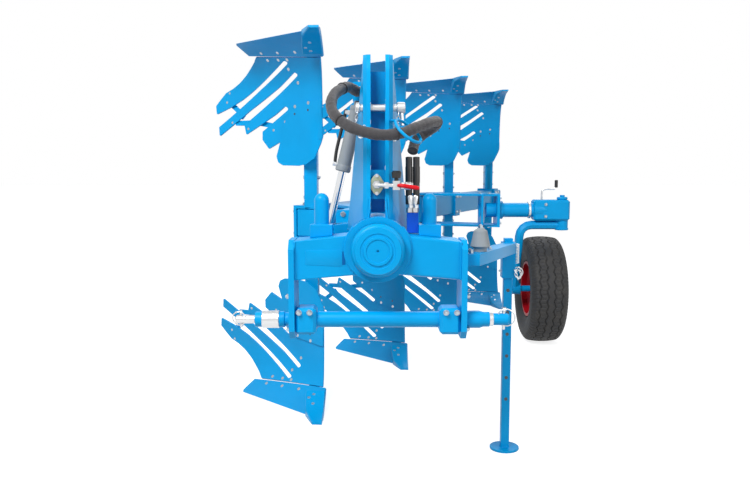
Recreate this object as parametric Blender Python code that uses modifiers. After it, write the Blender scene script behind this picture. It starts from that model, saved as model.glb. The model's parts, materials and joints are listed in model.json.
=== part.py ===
"""A four-furrow reversible mouldboard plough, parked on its lower shares, its stand and its wheel.

Metres, +Z up, the tractor side facing -Y. Every piece is laid out from the point on the floor under the
middle of the lower hitch shaft; centre_on_floor() then puts the origin under the middle of the whole plough.
"""

import math

import bmesh
import bpy
import numpy as np
from mathutils import Matrix, Vector

# ---------------------------------------------------------------- driving sizes
GAP = 0.0003                 # between pieces that touch
RUNNING = 0.0008             # round a shaft that turns

BODY_HEIGHT = 1.76           # lower share tip to upper share tip
AXIS_Z = 0.865               # turnover axis; the other heights of the headstock and mast go with it
GROUND = AXIS_Z - BODY_HEIGHT / 2    # where the shares, the stand's foot and the wheel stand
FURROWS = 4
FURROW_WIDTH = 0.431         # across, from one body to the next
BODY_PITCH = 0.92            # along, from one body to the next
FIRST_TIP = (-0.25, 0.70)    # x, y of the first share tip

BOARD_T = 0.008              # mouldboard plate
SHARE_T = 0.012
SHARE_BELOW, SHARE_ROWS = 0.03, 3     # grid of the share, cut off at the furrow bottom
BOARD_SEAM = 0.0030          # between share and mouldboard
BOARD_GRID_TOP, BOARD_ROWS = 0.52, 5
BOARD_COLUMNS = (-0.015, 0.08, 0.18, 0.29, 0.41, 0.52, 0.64)
SEAT = 0.0021                # frog behind the plates
TRASH_T = 0.006
TRASH_SEAT = 0.0018          # trash board in front of the mouldboard
SHARE_LENGTH = 0.445         # wing of the share, across
SHARE_TOP = (0.100, 0.046)   # height of the share's top edge at the shin and at the wing
POINT_W = 0.092
FROG_X = (0.030, 0.086)      # landside face to furrow face
LEG_X = (0.046, 0.110)
LEG_Y = (0.44, 0.55)         # behind the share tip
LANDSIDE_X = (0.034, 0.048)
LANDSIDE_END = 0.58

BEAM_H, BEAM_W = 0.14, 0.12
CLAMP_T = 0.016              # plates that grip the beam
LEG_CLAMP_L = 0.10
BEAM_LEAD, BEAM_TAIL = 0.05, 0.20   # beam past the first and last leg

HITCH_Z = 0.615
SHAFT_R = 0.028              # cross shaft
PLATE_X, PLATE_T = 0.286, 0.020     # side plates: inner face, thickness
PLATE_Y = (-0.055, 0.105)
PLATE_Z = (0.552, 0.896)
ARM_ROOT_X = 0.085
ARM_WELD = 0.004             # arm let into the side plate
ARM_Y = (-0.040, 0.090)
ARM_ROOT_Z = (0.775, 0.915)
ARM_TIP_Z = (0.757, 0.893)
HUB_R = 0.112
HUB_Y = (-0.055, 0.165)
CAP_R, CAP_Y = 0.092, -0.100
TURN_R = 0.060               # turnover shaft
CONSOLE_Y, CONSOLE_T = 0.470, 0.026
CONSOLE_PLATE_T = 0.016

MAST_GAP = 0.050             # top link slot
MAST_T = 0.013
MAST_TOP = 1.525
LINK_Z, LINK_R = 1.345, 0.0125

STAND_X, STAND_Y = 0.525, 0.420
STAND_LEG = 0.034            # square leg
STAND_TOP = 0.860
STAND_FOOT_R = 0.060
SLEEVE_T = 0.008
STAND_ARM_Z = (0.800, 0.842)

CYL_TOP = (-0.060, 0.250, 1.420)    # pin on the mast
CYL_PIN = (-0.189, 0.250, 0.895)    # rod's eye at the crank
BARREL_R, BARREL_L = 0.026, 0.300
ROD_R = 0.014
EYE_R, EYE_W = 0.030, 0.034

WHEEL_D, WHEEL_W = BODY_HEIGHT / 2 - 0.180, 0.235
RIM_R = 0.172
SWING_Y = FIRST_TIP[1] + BODY_PITCH + 0.630     # axis of the carrier tube, behind the second leg
WHEEL_X, WHEEL_Y = 1.088, SWING_Y + 0.120
CARRIER_R = 0.046
CARRIER_X = (0.700, 1.020)
CONSOLE_X = 0.780            # outer plate of the wheel bracket
BRACKET_H = 0.105            # half height of the wheel bracket
SWIVEL_X = 1.190
HEAD_H = 0.066               # half height of the head
ARM_R = 0.030
ARM_X = 0.920                # upright of the wheel arm
AXLE_R = 0.020

WHEEL_STEPS = 32
SIDES = 24                   # round pieces


# ---------------------------------------------------------------- finishes
def paint(name, colour, roughness, metallic=0.0):
    material = bpy.data.materials.get(name) or bpy.data.materials.new(name)
    material.use_nodes = True
    shader = material.node_tree.nodes["Principled BSDF"]
    shader.inputs["Base Color"].default_value = (*colour, 1.0)
    shader.inputs["Roughness"].default_value = roughness
    shader.inputs["Metallic"].default_value = metallic
    return material


BLUE = ("blue_paint", (0.004, 0.29, 0.72), 0.35)
DARK_BLUE = ("dark_blue_paint", (0.01, 0.05, 0.62), 0.35)
STEEL = ("zinc_plated_steel", (0.62, 0.62, 0.60), 0.35, 1.0)
CHROME = ("chrome", (0.80, 0.80, 0.80), 0.10, 1.0)
HOSE = ("black_hose", (0.03, 0.028, 0.027), 0.75)
TYRE = ("tyre_rubber", (0.018, 0.018, 0.018), 0.85)
RED = ("red_paint", (0.55, 0.01, 0.02), 0.40)


# ---------------------------------------------------------------- tools
def collection(name, hidden=False):
    made = bpy.data.collections.new(name)
    bpy.context.scene.collection.children.link(made)
    made.hide_render = hidden
    return made


def add(name, data, finish=None, helper=False):
    """An object of this mesh or curve, in the plough's collection or with the cutters."""
    made = bpy.data.objects.new(name, data)
    bpy.data.collections["cutters" if helper else "reversible_plough"].objects.link(made)
    if helper:
        made.hide_render = True
        made.display_type = "WIRE"
    if finish:
        data.materials.clear()
        data.materials.append(paint(*finish))
    return made


def from_bmesh(name, bm, helper=True):
    mesh = bpy.data.meshes.new(name)
    bmesh.ops.recalc_face_normals(bm, faces=bm.faces)
    bm.to_mesh(mesh)
    bm.free()
    return add(name, mesh, helper=helper)


def box(low, high):
    """A box between two corners."""
    bm = bmesh.new()
    bmesh.ops.create_cube(bm, size=1.0)
    low, high = Vector(low), Vector(high)
    for vert in bm.verts:
        vert.co = Vector((vert.co[k] + 0.5) * (high[k] - low[k]) + low[k] for k in range(3))
    return from_bmesh("box", bm)


def rod(start, end, radius, end_radius=None, sides=SIDES):
    """A cylinder, or a cone, between two points."""
    start, end = Vector(start), Vector(end)
    bm = bmesh.new()
    far = radius if end_radius is None else end_radius
    bmesh.ops.create_cone(bm, cap_ends=True, segments=sides, radius1=radius, radius2=far,
                          depth=(end - start).length)
    turn = Vector((0, 0, 1)).rotation_difference(end - start).to_matrix().to_4x4()
    bmesh.ops.transform(bm, verts=bm.verts, matrix=Matrix.Translation((start + end) / 2) @ turn)
    return from_bmesh("rod", bm)


def prism(outline, low, high, plane="XY"):
    """A flat outline, extruded between two levels of the axis that its plane leaves out."""
    curve = bpy.data.curves.new("outline", "CURVE")
    curve.dimensions = "2D"
    curve.fill_mode = "BOTH"
    curve.extrude = (high - low) / 2
    line = curve.splines.new("POLY")
    line.points.add(len(outline) - 1)
    for point, (a, b) in zip(line.points, outline):
        point.co = (a, b, 0, 1)
    line.use_cyclic_u = True
    made = meshed(add("outline", curve, helper=True))
    middle = (low + high) / 2
    turn = {
        "XY": Matrix.Identity(4),
        "XZ": Matrix.Rotation(math.pi / 2, 4, "X"),
        "YZ": Matrix.Rotation(math.pi / 2, 4, "Z") @ Matrix.Rotation(math.pi / 2, 4, "X"),
    }[plane]
    shift = {"XY": (0, 0, middle), "XZ": (0, middle, 0), "YZ": (middle, 0, 0)}[plane]
    made.data.transform(Matrix.Translation(shift) @ turn)
    return made


def pipe(points, radius, sides=2):
    """A round tube, or wire, along a list of points."""
    curve = bpy.data.curves.new("path", "CURVE")
    curve.dimensions = "3D"
    curve.bevel_depth = radius
    curve.bevel_resolution = sides
    curve.use_fill_caps = True
    line = curve.splines.new("POLY")
    line.points.add(len(points) - 1)
    for point, place in zip(line.points, points):
        point.co = (*place, 1)
    return meshed(add("path", curve, helper=True))


def turned(profile, place, axis="X", steps=SIDES):
    """A profile of (distance along the axis, radius), turned round an axis through a place."""
    bm = bmesh.new()
    ring = [bm.verts.new((radius, 0, along)) for along, radius in profile]
    closed = profile[0][1] > 0
    for a, b in zip(ring, ring[1:] + ([ring[0]] if closed else [])):
        bm.edges.new((a, b))
    mesh = bpy.data.meshes.new("profile")
    bm.to_mesh(mesh)
    bm.free()
    made = add("profile", mesh, helper=True)
    screw = made.modifiers.new("turn", "SCREW")
    screw.axis = "Z"
    screw.steps = screw.render_steps = steps
    screw.use_merge_vertices = True
    screw.merge_threshold = 0.00001
    made = meshed(made)
    turn = {
        "X": Matrix.Rotation(math.pi / 2, 4, "Y"),
        "Y": Matrix.Rotation(-math.pi / 2, 4, "X"),
        "Z": Matrix.Identity(4),
    }[axis]
    made.data.transform(Matrix.Translation(place) @ turn)
    return outward(made)


def outward(made):
    """The same closed mesh with its faces pointing out."""
    bm = bmesh.new()
    bm.from_mesh(made.data)
    bmesh.ops.remove_doubles(bm, verts=bm.verts, dist=0.00001)
    bmesh.ops.recalc_face_normals(bm, faces=bm.faces)
    if bm.calc_volume(signed=True) < 0:
        bmesh.ops.reverse_faces(bm, faces=bm.faces)
    bm.to_mesh(made.data)
    bm.free()
    return made


def meshed(made):
    """The evaluated shape of an object, as a plain mesh object in its place."""
    graph = bpy.context.evaluated_depsgraph_get()
    mesh = bpy.data.meshes.new_from_object(made.evaluated_get(graph))
    bm = bmesh.new()
    bm.from_mesh(mesh)
    bmesh.ops.remove_doubles(bm, verts=bm.verts, dist=0.00001)
    bm.to_mesh(mesh)
    bm.free()
    fresh = add(made.name, mesh, helper=True)
    fresh.matrix_world = made.matrix_world
    bpy.data.objects.remove(made)
    return fresh


def combine(base, others, operation):
    for other in others:
        step = base.modifiers.new(operation.lower(), "BOOLEAN")
        step.operation = operation
        step.object = other
    return meshed(base)


def join(base, *others):
    return combine(base, others, "UNION")


def cut(base, *others):
    return combine(base, others, "DIFFERENCE")


def common(base, *others):
    return combine(base, others, "INTERSECT")


def softened(made, width, segments=1):
    """Rounded or chamfered edges."""
    bevel = made.modifiers.new("bevel", "BEVEL")
    bevel.width = width
    bevel.segments = segments
    bevel.limit_method = "ANGLE"
    bevel.angle_limit = math.radians(40)
    return meshed(made)


def keep(name, made, finish, parent):
    """Names a finished piece, gives it its finish and hangs it on its body's empty."""
    made.name = made.data.name = name
    bpy.data.collections["cutters"].objects.unlink(made)
    bpy.data.collections["reversible_plough"].objects.link(made)
    made.hide_render = False
    made.display_type = "TEXTURED"
    made.data.materials.clear()
    made.data.materials.append(paint(*finish))
    made.data.shade_smooth()
    made.data.set_sharp_from_angle(angle=math.radians(35))
    made.parent = parent
    made.matrix_parent_inverse = parent.matrix_world.inverted()
    return made


def axis_empty(name, place, parent=None):
    """An empty on a joint's axis, which carries the pieces of one body."""
    made = bpy.data.objects.new(name, None)
    made.empty_display_size = 0.15
    bpy.data.collections["reversible_plough"].objects.link(made)
    made.location = place
    bpy.context.view_layer.update()
    if parent:
        made.parent = parent
        made.matrix_parent_inverse = parent.matrix_world.inverted()
    bpy.context.view_layer.update()
    return made


def copied(source):
    return add(source.name, source.data.copy(), helper=True)


def moved(made, shift):
    made.data.transform(Matrix.Translation(shift))
    return made


def flipped(made):
    """The upper body's half of a piece: the lower one mirrored about the turnover axis."""
    made.data.transform(Matrix.Translation((0, 0, 2 * AXIS_Z)) @ Matrix.Diagonal((1, 1, -1, 1)))
    made.data.flip_normals()
    return made


# ---------------------------------------------------------------- one plough body, from its share tip
def board_depth(across, height):
    """How far the working face lies behind the share tip, at a distance to the furrow side and a height."""
    rake = 0.28 * (1 - math.exp(-height / 0.085))
    sweep = across * (1.0 - 0.56 * height)
    hollow = 0.25 * across * (0.66 - across) * min(max(height, 0) / 0.2, 1)
    return 0.048 + rake + sweep + hollow


def share_top(across):
    near, far = SHARE_TOP
    return near + (far - near) * across / SHARE_LENGTH


def face_grid(columns, bottom, top, rows):
    """A piece of the working face, as rows of points from its bottom edge to its top edge."""
    bm = bmesh.new()
    grid = []
    for k in range(rows + 1):
        line = []
        for across in columns:
            low, high = bottom(across), top(across)
            height = low + (high - low) * k / rows
            line.append(bm.verts.new((-across, board_depth(across, height), height)))
        grid.append(line)
    for under, over in zip(grid, grid[1:]):
        for a, b, c, d in zip(under, under[1:], over[1:], over):
            bm.faces.new((a, b, c, d))
    return bm


def face_sheet(columns, bottom, top, rows, thickness, front):
    """A piece of the working face with a wall: front is how far the wall stands out of the face."""
    bm = face_grid(columns, bottom, top, rows)
    mesh = bpy.data.meshes.new("sheet")
    bm.to_mesh(mesh)
    bm.free()
    sheet = add("sheet", mesh, helper=True)
    if mesh.polygons[0].normal.y > 0:
        mesh.flip_normals()
    wall = sheet.modifiers.new("wall", "SOLIDIFY")
    wall.thickness = thickness
    wall.offset = 2 * front / thickness - 1
    wall.use_even_offset = True
    return outward(meshed(sheet))


def share_sheet(thickness):
    columns = [-0.015, 0.05, POINT_W, 0.18, 0.27, 0.36, SHARE_LENGTH + 0.01]
    return face_sheet(columns, lambda s: -SHARE_BELOW, share_top, SHARE_ROWS, thickness, 0.0)


def board_sheet(thickness):
    return face_sheet(BOARD_COLUMNS, lambda s: board_row(s, 0), lambda s: BOARD_GRID_TOP, BOARD_ROWS, thickness, 0.0)


def share():
    """Wing and point in one piece, ground flat along the furrow bottom."""
    wing = share_sheet(SHARE_T)
    corner = SHARE_LENGTH - 0.055
    outline = [(-0.0005, -0.05), (-SHARE_LENGTH, -0.05), (-SHARE_LENGTH, 0.0),
               (-corner, share_top(corner)), (-0.0005, share_top(0))]
    wing = common(wing, prism(outline, 0.0, 0.9, "XZ"))
    bm = bmesh.new()
    sections = [  # y, width, underside, top
        (0.000, 0.045, 0.000, 0.010),
        (0.111, 0.085, -0.010, 0.030),
        (0.188, POINT_W, 0.030, 0.068),
        (0.221, POINT_W, 0.066, 0.090),
    ]
    rings = []
    for y, width, low, high in sections:
        rings.append([bm.verts.new(co) for co in
                      ((0, y, low), (-width, y + 0.08 * width, low),
                       (-width, y + 0.08 * width, high), (0, y, high))])
    for near, far in zip(rings, rings[1:]):
        for k in range(4):
            bm.faces.new((near[k], near[(k + 1) % 4], far[(k + 1) % 4], far[k]))
    bm.faces.new(rings[0])
    bm.faces.new(rings[-1])
    point = from_bmesh("point", bm)
    floor = box((-0.6, -0.1, -0.2), (0.1, 1.0, 0.0))
    return cut(join(wing, point), floor)


# Outline of the slatted board, as (across, height): out along each slat and back again.
SLATS = (
    ((0.352, 0.02), (0.369, 0.082), (0.396, 0.107), (0.426, 0.135), (0.469, 0.168), (0.511, 0.192), (0.556, 0.211),
     (0.587, 0.241), (0.619, 0.277), (0.613, 0.322), (0.552, 0.299), (0.529, 0.290), (0.456, 0.255), (0.406, 0.225),
     (0.340, 0.183), (0.286, 0.147), (0.233, 0.113), (0.200, 0.092)),
    ((0.178, 0.103), (0.340, 0.208), (0.596, 0.392), (0.590, 0.440), (0.410, 0.314), (0.236, 0.208), (0.150, 0.147)),
    ((0.130, 0.161), (0.236, 0.240), (0.442, 0.386), (0.430, 0.436), (0.262, 0.342), (0.206, 0.302)),
    ((0.186, 0.318), (0.262, 0.372), (0.335, 0.424), (0.335, 0.466), (0.298, 0.512), (0.226, 0.474)),
)
BOARD_TOP = 0.470
TRASH = ((0.009, 0.280), (0.180, 0.300), (0.228, 0.476), (0.250, 0.552), (0.240, 0.582), (0.215, 0.596),
         (0.130, 0.598), (0.090, 0.590), (0.050, 0.562), (0.022, 0.490), (0.014, 0.460), (0.012, 0.400))


def board():
    """Slatted mouldboard: one curved plate with four slats."""
    outline = [(-0.012, 0.02)]
    for slat in SLATS:
        outline += [(-across, height) for across, height in slat]
    outline += [(-0.180, BOARD_TOP), (-0.012, BOARD_TOP)]
    return common(board_sheet(BOARD_T), prism(outline, 0.1, 1.2, "XZ"))


def trash_board():
    """Rounded board over the top edge, bolted on the front of the mouldboard."""
    sheet = face_sheet(BOARD_COLUMNS[:5], lambda s: board_row(s, 2), lambda s: board_row(s, 6), 4, TRASH_T,
                       TRASH_T + TRASH_SEAT)
    outline = [(-across, height) for across, height in TRASH]
    return common(sheet, prism(outline, 0.1, 1.0, "XZ"))


def board_row(across, row):
    """Height of one row of the mouldboard's grid."""
    low = share_top(across) + BOARD_SEAM
    return low + (BOARD_GRID_TOP - low) * row / BOARD_ROWS


def back_depth(across, height, thickness):
    """Depth of the back of a plate whose front is the working face."""
    step = 0.001
    rise = (board_depth(across, height + step) - board_depth(across, height - step)) / (2 * step)
    turn = (board_depth(across + step, height) - board_depth(across - step, height)) / (2 * step)
    return board_depth(across, height) + thickness * math.sqrt(1 + rise * rise + turn * turn)


def frog_side(across):
    """The frog's outline at one side, as (depth, height): up the back of the plates and down its own back."""
    share_rows = [-SHARE_BELOW + (share_top(across) + SHARE_BELOW) * row / SHARE_ROWS for row in (2, 3)]
    line = [(back_depth(across, height, SHARE_T) + SEAT, height) for height in share_rows]
    line += [(back_depth(across, height, BOARD_T) + SEAT, height)
             for height in (board_row(across, row) for row in (1, 2, 3))]
    return line + [(LEG_Y[1] - 0.01, line[-1][1] + 0.04), (LEG_Y[1] + 0.02, 0.34), (0.56, 0.12), (0.44, 0.030)]


def frog_and_leg():
    """Leg, frog and landside of a lower body, up to the underside of the beam clamp."""
    leg = box((-LEG_X[1], LEG_Y[0], 0.30), (-LEG_X[0], LEG_Y[1], BODY_HEIGHT / 2 - BEAM_H / 2 - CLAMP_T / 2))
    bm = bmesh.new()
    sides = [[bm.verts.new((-across, *co)) for co in frog_side(across)] for across in FROG_X]
    for k in range(len(sides[0])):
        nxt = (k + 1) % len(sides[0])
        bm.faces.new((sides[0][k], sides[0][nxt], sides[1][nxt], sides[1][k]))
    for side in sides:
        bm.faces.new(side)
    frog = from_bmesh("frog", bm)
    landside = box((-LANDSIDE_X[1], 0.38, 0.012), (-LANDSIDE_X[0], LANDSIDE_END, 0.112))
    return join(frog, leg, landside)


def tip(number):
    return FIRST_TIP[0] + FURROW_WIDTH * number, FIRST_TIP[1] + BODY_PITCH * number


def leg_centre(number):
    x, y = tip(number)
    return x - sum(LEG_X) / 2, y + sum(LEG_Y) / 2


BEAM_YAW = -math.atan2(FURROW_WIDTH, BODY_PITCH)


def on_beam(made, along):
    """Turns a piece built along +Y round the beam's line, and moves it along the beam from the first leg."""
    x, y = leg_centre(0)
    turn = Matrix.Rotation(BEAM_YAW, 4, "Z")
    made.data.transform(Matrix.Translation((x, y, AXIS_Z)) @ turn @ Matrix.Translation((0, along, 0)))
    return made


BODY_STEP = math.hypot(FURROW_WIDTH, BODY_PITCH)


def beam_clamp(length, along):
    """Four plates gripping the beam, as one frame round it."""
    half_w, half_h = BEAM_W / 2 + GAP, BEAM_H / 2 + GAP
    outer = box((-half_w - CLAMP_T, -length / 2, -half_h - CLAMP_T),
                (half_w + CLAMP_T, length / 2, half_h + CLAMP_T))
    inner = box((-half_w, -length, -half_h), (half_w, length, half_h))
    return on_beam(cut(outer, inner), along)


def bodies(frame):
    """Four pairs of bodies on the beam, each upper one the mirror image of the lower."""
    lower = {
        "share": (share(), BLUE),
        "mouldboard": (board(), BLUE),
        "trash_board": (trash_board(), BLUE),
    }
    leg = frog_and_leg()
    for number in range(FURROWS):
        shift = (*tip(number), GROUND)
        for name, (shape, finish) in lower.items():
            for level in ("lower", "upper"):
                piece = moved(copied(shape), shift)
                if level == "upper":
                    piece = flipped(piece)
                keep(f"{name}_{level}_{number + 1}", piece, finish, frame)
        below = moved(copied(leg), shift)
        above = flipped(moved(copied(leg), shift))
        clamp = beam_clamp(LEG_CLAMP_L, number * BODY_STEP)
        keep(f"leg_pair_{number + 1}", join(clamp, below, above), BLUE, frame)


def beam(frame):
    length = BODY_STEP * (FURROWS - 1)
    made = box((-BEAM_W / 2, -BEAM_LEAD, -BEAM_H / 2), (BEAM_W / 2, length + BEAM_TAIL, BEAM_H / 2))
    keep("main_beam", softened(on_beam(made, 0), 0.008), BLUE, frame)


# ---------------------------------------------------------------- headstock, which stays on the tractor
def ring(outer, inner, low, high, place, axis="Y"):
    return turned([(low, outer), (high, outer), (high, inner), (low, inner)], place, axis)


def headstock(root):
    """Hub and two arms, bored for the turnover shaft."""
    hub = rod((0, HUB_Y[0], AXIS_Z), (0, HUB_Y[1], AXIS_Z), HUB_R, sides=40)
    shapes = []
    for side in (-1, 1):
        outline = [(side * 0.02, ARM_ROOT_Z[0]), (side * ARM_ROOT_X, ARM_ROOT_Z[0]),
                   (side * (PLATE_X + ARM_WELD), ARM_TIP_Z[0]), (side * (PLATE_X + ARM_WELD), ARM_TIP_Z[1]),
                   (side * ARM_ROOT_X, ARM_ROOT_Z[1]), (side * 0.02, ARM_ROOT_Z[1])]
        shapes.append(softened(prism(outline, *ARM_Y, "XZ"), 0.012, 2))
    for side in (-1, 1):
        corner = 0.03
        low, high = PLATE_Z
        outline = [(PLATE_Y[0], low + corner), (PLATE_Y[0] + corner, low), (PLATE_Y[1] - corner, low),
                   (PLATE_Y[1], low + corner), (PLATE_Y[1], high - corner), (PLATE_Y[1] - corner, high),
                   (PLATE_Y[0] + corner, high), (PLATE_Y[0], high - corner)]
        near, far = sorted((side * PLATE_X, side * (PLATE_X + PLATE_T)))
        shapes.append(prism(outline, near, far, "YZ"))
    bore = rod((0, -0.3, AXIS_Z), (0, 0.5, AXIS_Z), TURN_R + RUNNING)
    hole = rod((-0.5, 0, HITCH_Z), (0.5, 0, HITCH_Z), SHAFT_R + GAP)
    keep("headstock", cut(join(hub, *shapes), bore, hole), BLUE, root)


def cross_shaft(root):
    """Lower hitch shaft: a thin pin on the left, a stout one on the right."""
    profile = [(-0.496, 0.0), (-0.496, 0.010), (-0.490, 0.014), (-0.427, 0.014), (-0.427, 0.027),
               (-0.403, 0.027), (-0.403, 0.0285), (-0.326, 0.0285), (-0.322, 0.024), (-0.312, 0.024),
               (-0.308, SHAFT_R), (0.310, SHAFT_R), (0.318, 0.0305), (0.355, 0.0305), (0.368, 0.026),
               (0.389, 0.026), (0.389, 0.0205), (0.452, 0.0205), (0.458, 0.016), (0.458, 0.0)]
    clamps = []
    for side in (-1, 1):
        near, far = sorted((side * 0.213, side * (PLATE_X - GAP)))
        clamps.append(softened(box((near, -0.046, HITCH_Z - 0.046), (far, 0.046, HITCH_Z + 0.046)), 0.01))
    keep("cross_shaft", join(turned(profile, (0, 0, HITCH_Z), "X"), *clamps), BLUE, root)


def mast_section(side, z, outer, back, front):
    """One folded mast plate's outline in plan, at a height."""
    inner = MAST_GAP / 2
    t = MAST_T
    return [(side * x, y, z) for x, y in (
        (inner, front), (inner + t, front), (inner + t + 0.013, front + 0.016), (outer, back),
        (outer - t, back + 0.004), (inner + t - 0.001, front + 0.028), (inner, front + 0.022))]


def mast(root):
    """Two folded, tapering plates with a slot for the top link, closed behind by a web."""
    sections = [  # z, outer x, rear y, front y
        (ARM_ROOT_Z[1] + GAP, 0.112, 0.160, -0.040),
        (1.030, 0.100, 0.152, -0.028),
        (1.460, 0.058, 0.110, -0.012),
        (1.505, 0.054, 0.095, 0.004),
        (MAST_TOP, 0.050, 0.075, 0.028),
    ]
    hub = rod((0, -0.3, AXIS_Z), (0, 0.5, AXIS_Z), HUB_R + GAP, sides=40)
    for side, name in ((-1, "left"), (1, "right")):
        bm = bmesh.new()
        rings = [[bm.verts.new(co) for co in mast_section(side, z, outer, back, front)]
                 for z, outer, back, front in sections]
        for under, over in zip(rings, rings[1:]):
            for k in range(len(under)):
                nxt = (k + 1) % len(under)
                bm.faces.new((under[k], under[nxt], over[nxt], over[k]))
        bm.faces.new(rings[0])
        bm.faces.new(rings[-1])
        hole = rod((-0.2, LINK_Y, LINK_Z), (0.2, LINK_Y, LINK_Z), LINK_R + GAP, sides=16)
        keep(f"mast_plate_{name}", cut(from_bmesh("mast", bm), hub, hole), BLUE, root)
    half = MAST_GAP / 2 - GAP
    web = box((-half, 0.050, 0.985), (half, 0.060, 1.470))
    cross = box((-half, -0.004, 1.035), (half, 0.006, 1.135))
    shelf = box((-half, 0.002, 1.120), (half, 0.055, 1.130))
    keep("mast_web", join(web, cross, shelf, *cylinder_lug()), BLUE, root)


LINK_Y = 0.022


def top_link_pin(root):
    profile = [(-0.075, 0.0), (-0.075, 0.018), (-0.062, 0.018), (-0.062, LINK_R), (0.066, LINK_R),
               (0.066, 0.019), (0.092, 0.019), (0.092, 0.0)]
    pin = turned(profile, (0, LINK_Y, LINK_Z), "X", 16)
    handle = pipe([(0.080, LINK_Y, LINK_Z - 0.005), (0.084, LINK_Y - 0.005, LINK_Z - 0.060)], 0.007)
    keep("top_link_pin", join(pin, handle), STEEL, root)


def hub_cap(root):
    profile = [(CAP_Y, 0.0), (CAP_Y, 0.078), (CAP_Y + 0.005, 0.084), (CAP_Y + 0.012, CAP_R),
               (HUB_Y[0] - GAP, CAP_R), (HUB_Y[0] - GAP, 0.0)]
    keep("hub_cap", turned(profile, (0, 0, AXIS_Z), "Y", 32), BLUE, root)


def turn_stops(root):
    """Round-headed stops on stepped pads, on top of the arms."""
    for x, name in ((-0.197, "left"), (0.181, "right")):
        pad_x = (x - 0.039, x + 0.039)
        base = ARM_ROOT_Z[1] + GAP
        slope = (ARM_ROOT_Z[1] - ARM_TIP_Z[1]) / (PLATE_X + ARM_WELD - ARM_ROOT_X)
        low = [base - slope * (abs(edge) - ARM_ROOT_X) for edge in pad_x]
        outline = [(pad_x[0], low[0]), (pad_x[1], low[1]), (pad_x[1], 0.945), (pad_x[0], 0.945)]
        pad = prism(outline, 0.012, 0.088, "XZ")
        dome = [(0.94, 0.0), (0.94, 0.026), (1.028, 0.026)]
        dome += [(1.028 + 0.026 * math.sin(a), 0.026 * math.cos(a)) for a in (0.4, 0.8, 1.2)]
        dome.append((1.054, 0.0))
        post = turned(dome, (x, 0.050, 0), "Z", 20)
        keep(f"turn_stop_{name}", join(pad, post), BLUE, root)


def valve_block(root):
    body = box((0.102, 0.030, 0.9152), (0.142, 0.074, 0.985))
    ports = [rod((x, 0.052, 0.98), (x, 0.052, 1.012), 0.009, sides=12) for x in (0.112, 0.132)]
    keep("valve_block", join(body, *ports), DARK_BLUE, root)


def ball_valve(root):
    """Tap on the front of the mast's cross plate, with its lever out to the right."""
    flange = turned([(-0.0135, 0.0), (-0.0135, 0.020), (-0.0045, 0.020), (-0.0045, 0.0)],
                    (-0.004, 0, 1.085), "Y", 16)
    line = rod((-0.004, -0.012, 1.085), (-0.004, -0.048, 1.085), 0.008, sides=12)
    across = rod((-0.010, -0.044, 1.085), (0.105, -0.044, 1.080), 0.007, sides=12)
    block = box((0.050, -0.060, 1.068), (0.074, -0.030, 1.098))
    keep("ball_valve", join(flange, line, across, block), STEEL, root)


def smooth_path(points, count):
    """Evenly spaced points on the smooth curve through the route's own points."""
    route = np.array(points, float)
    ends = np.vstack([2 * route[0] - route[1], route, 2 * route[-1] - route[-2]])
    fine = []
    for k in range(1, len(ends) - 2):
        p0, p1, p2, p3 = ends[k - 1:k + 3]
        for t in np.linspace(0, 1, 24, endpoint=False):
            fine.append(0.5 * (2 * p1 + (p2 - p0) * t + (2 * p0 - 5 * p1 + 4 * p2 - p3) * t ** 2
                               + (3 * p1 - p0 - 3 * p2 + p3) * t ** 3))
    fine.append(route[-1])
    fine = np.array(fine)
    length = np.concatenate([[0], np.cumsum(np.linalg.norm(np.diff(fine, axis=0), axis=1))])
    even = np.linspace(0, length[-1], count)
    return [tuple(float(np.interp(at, length, fine[:, k])) for k in range(3)) for at in even]


# Route of the sleeved hose bundle: round the front of the mast, through its ring and back.
BUNDLE = ((-0.072, 0.190, 1.415), (-0.110, 0.120, 1.425), (-0.152, 0.020, 1.385), (-0.150, -0.050, 1.325),
          (-0.090, -0.090, 1.275), (0.000, -0.105, 1.250), (0.075, -0.085, 1.255), (0.140, -0.040, 1.280),
          (0.195, 0.030, 1.300), (0.205, 0.090, 1.290), (0.170, 0.130, 1.265), (0.135, 0.110, 1.235),
          (0.122, 0.075, 1.200))
BUNDLE_R = 0.020
DROP_R = 0.0125
RING_R = 0.053
DROP_X = (0.109, 0.135)


def hoses(root):
    keep("hose_bundle", pipe(smooth_path(BUNDLE, 34), BUNDLE_R, 2), HOSE, root)
    for x, name in zip(DROP_X, ("left", "right")):
        route = ((x, 0.072, 1.178), (x, 0.062, 1.120), (x, 0.055, 1.060), (x, 0.052, 1.0125))
        keep(f"drop_hose_{name}", pipe(smooth_path(route, 8), DROP_R, 2), HOSE, root)
    ring_at = Vector((0.100, -0.070, 1.262))
    lean = Matrix.Rotation(math.radians(40), 4, "Y") @ Matrix.Rotation(math.radians(22), 4, "X")
    loop = []
    for k in range(25):
        a = 2 * math.pi * k / 24
        loop.append(tuple(ring_at + lean @ Vector((RING_R * math.cos(a), RING_R * math.sin(a), 0))))
    made = pipe(loop[:-1] + [loop[0]], 0.0055, 1)
    stub = pipe([loop[12], (0.0465, -0.014, 1.30)], 0.0055, 1)
    keep("hose_ring", join(made, stub), BLUE, root)


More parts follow.
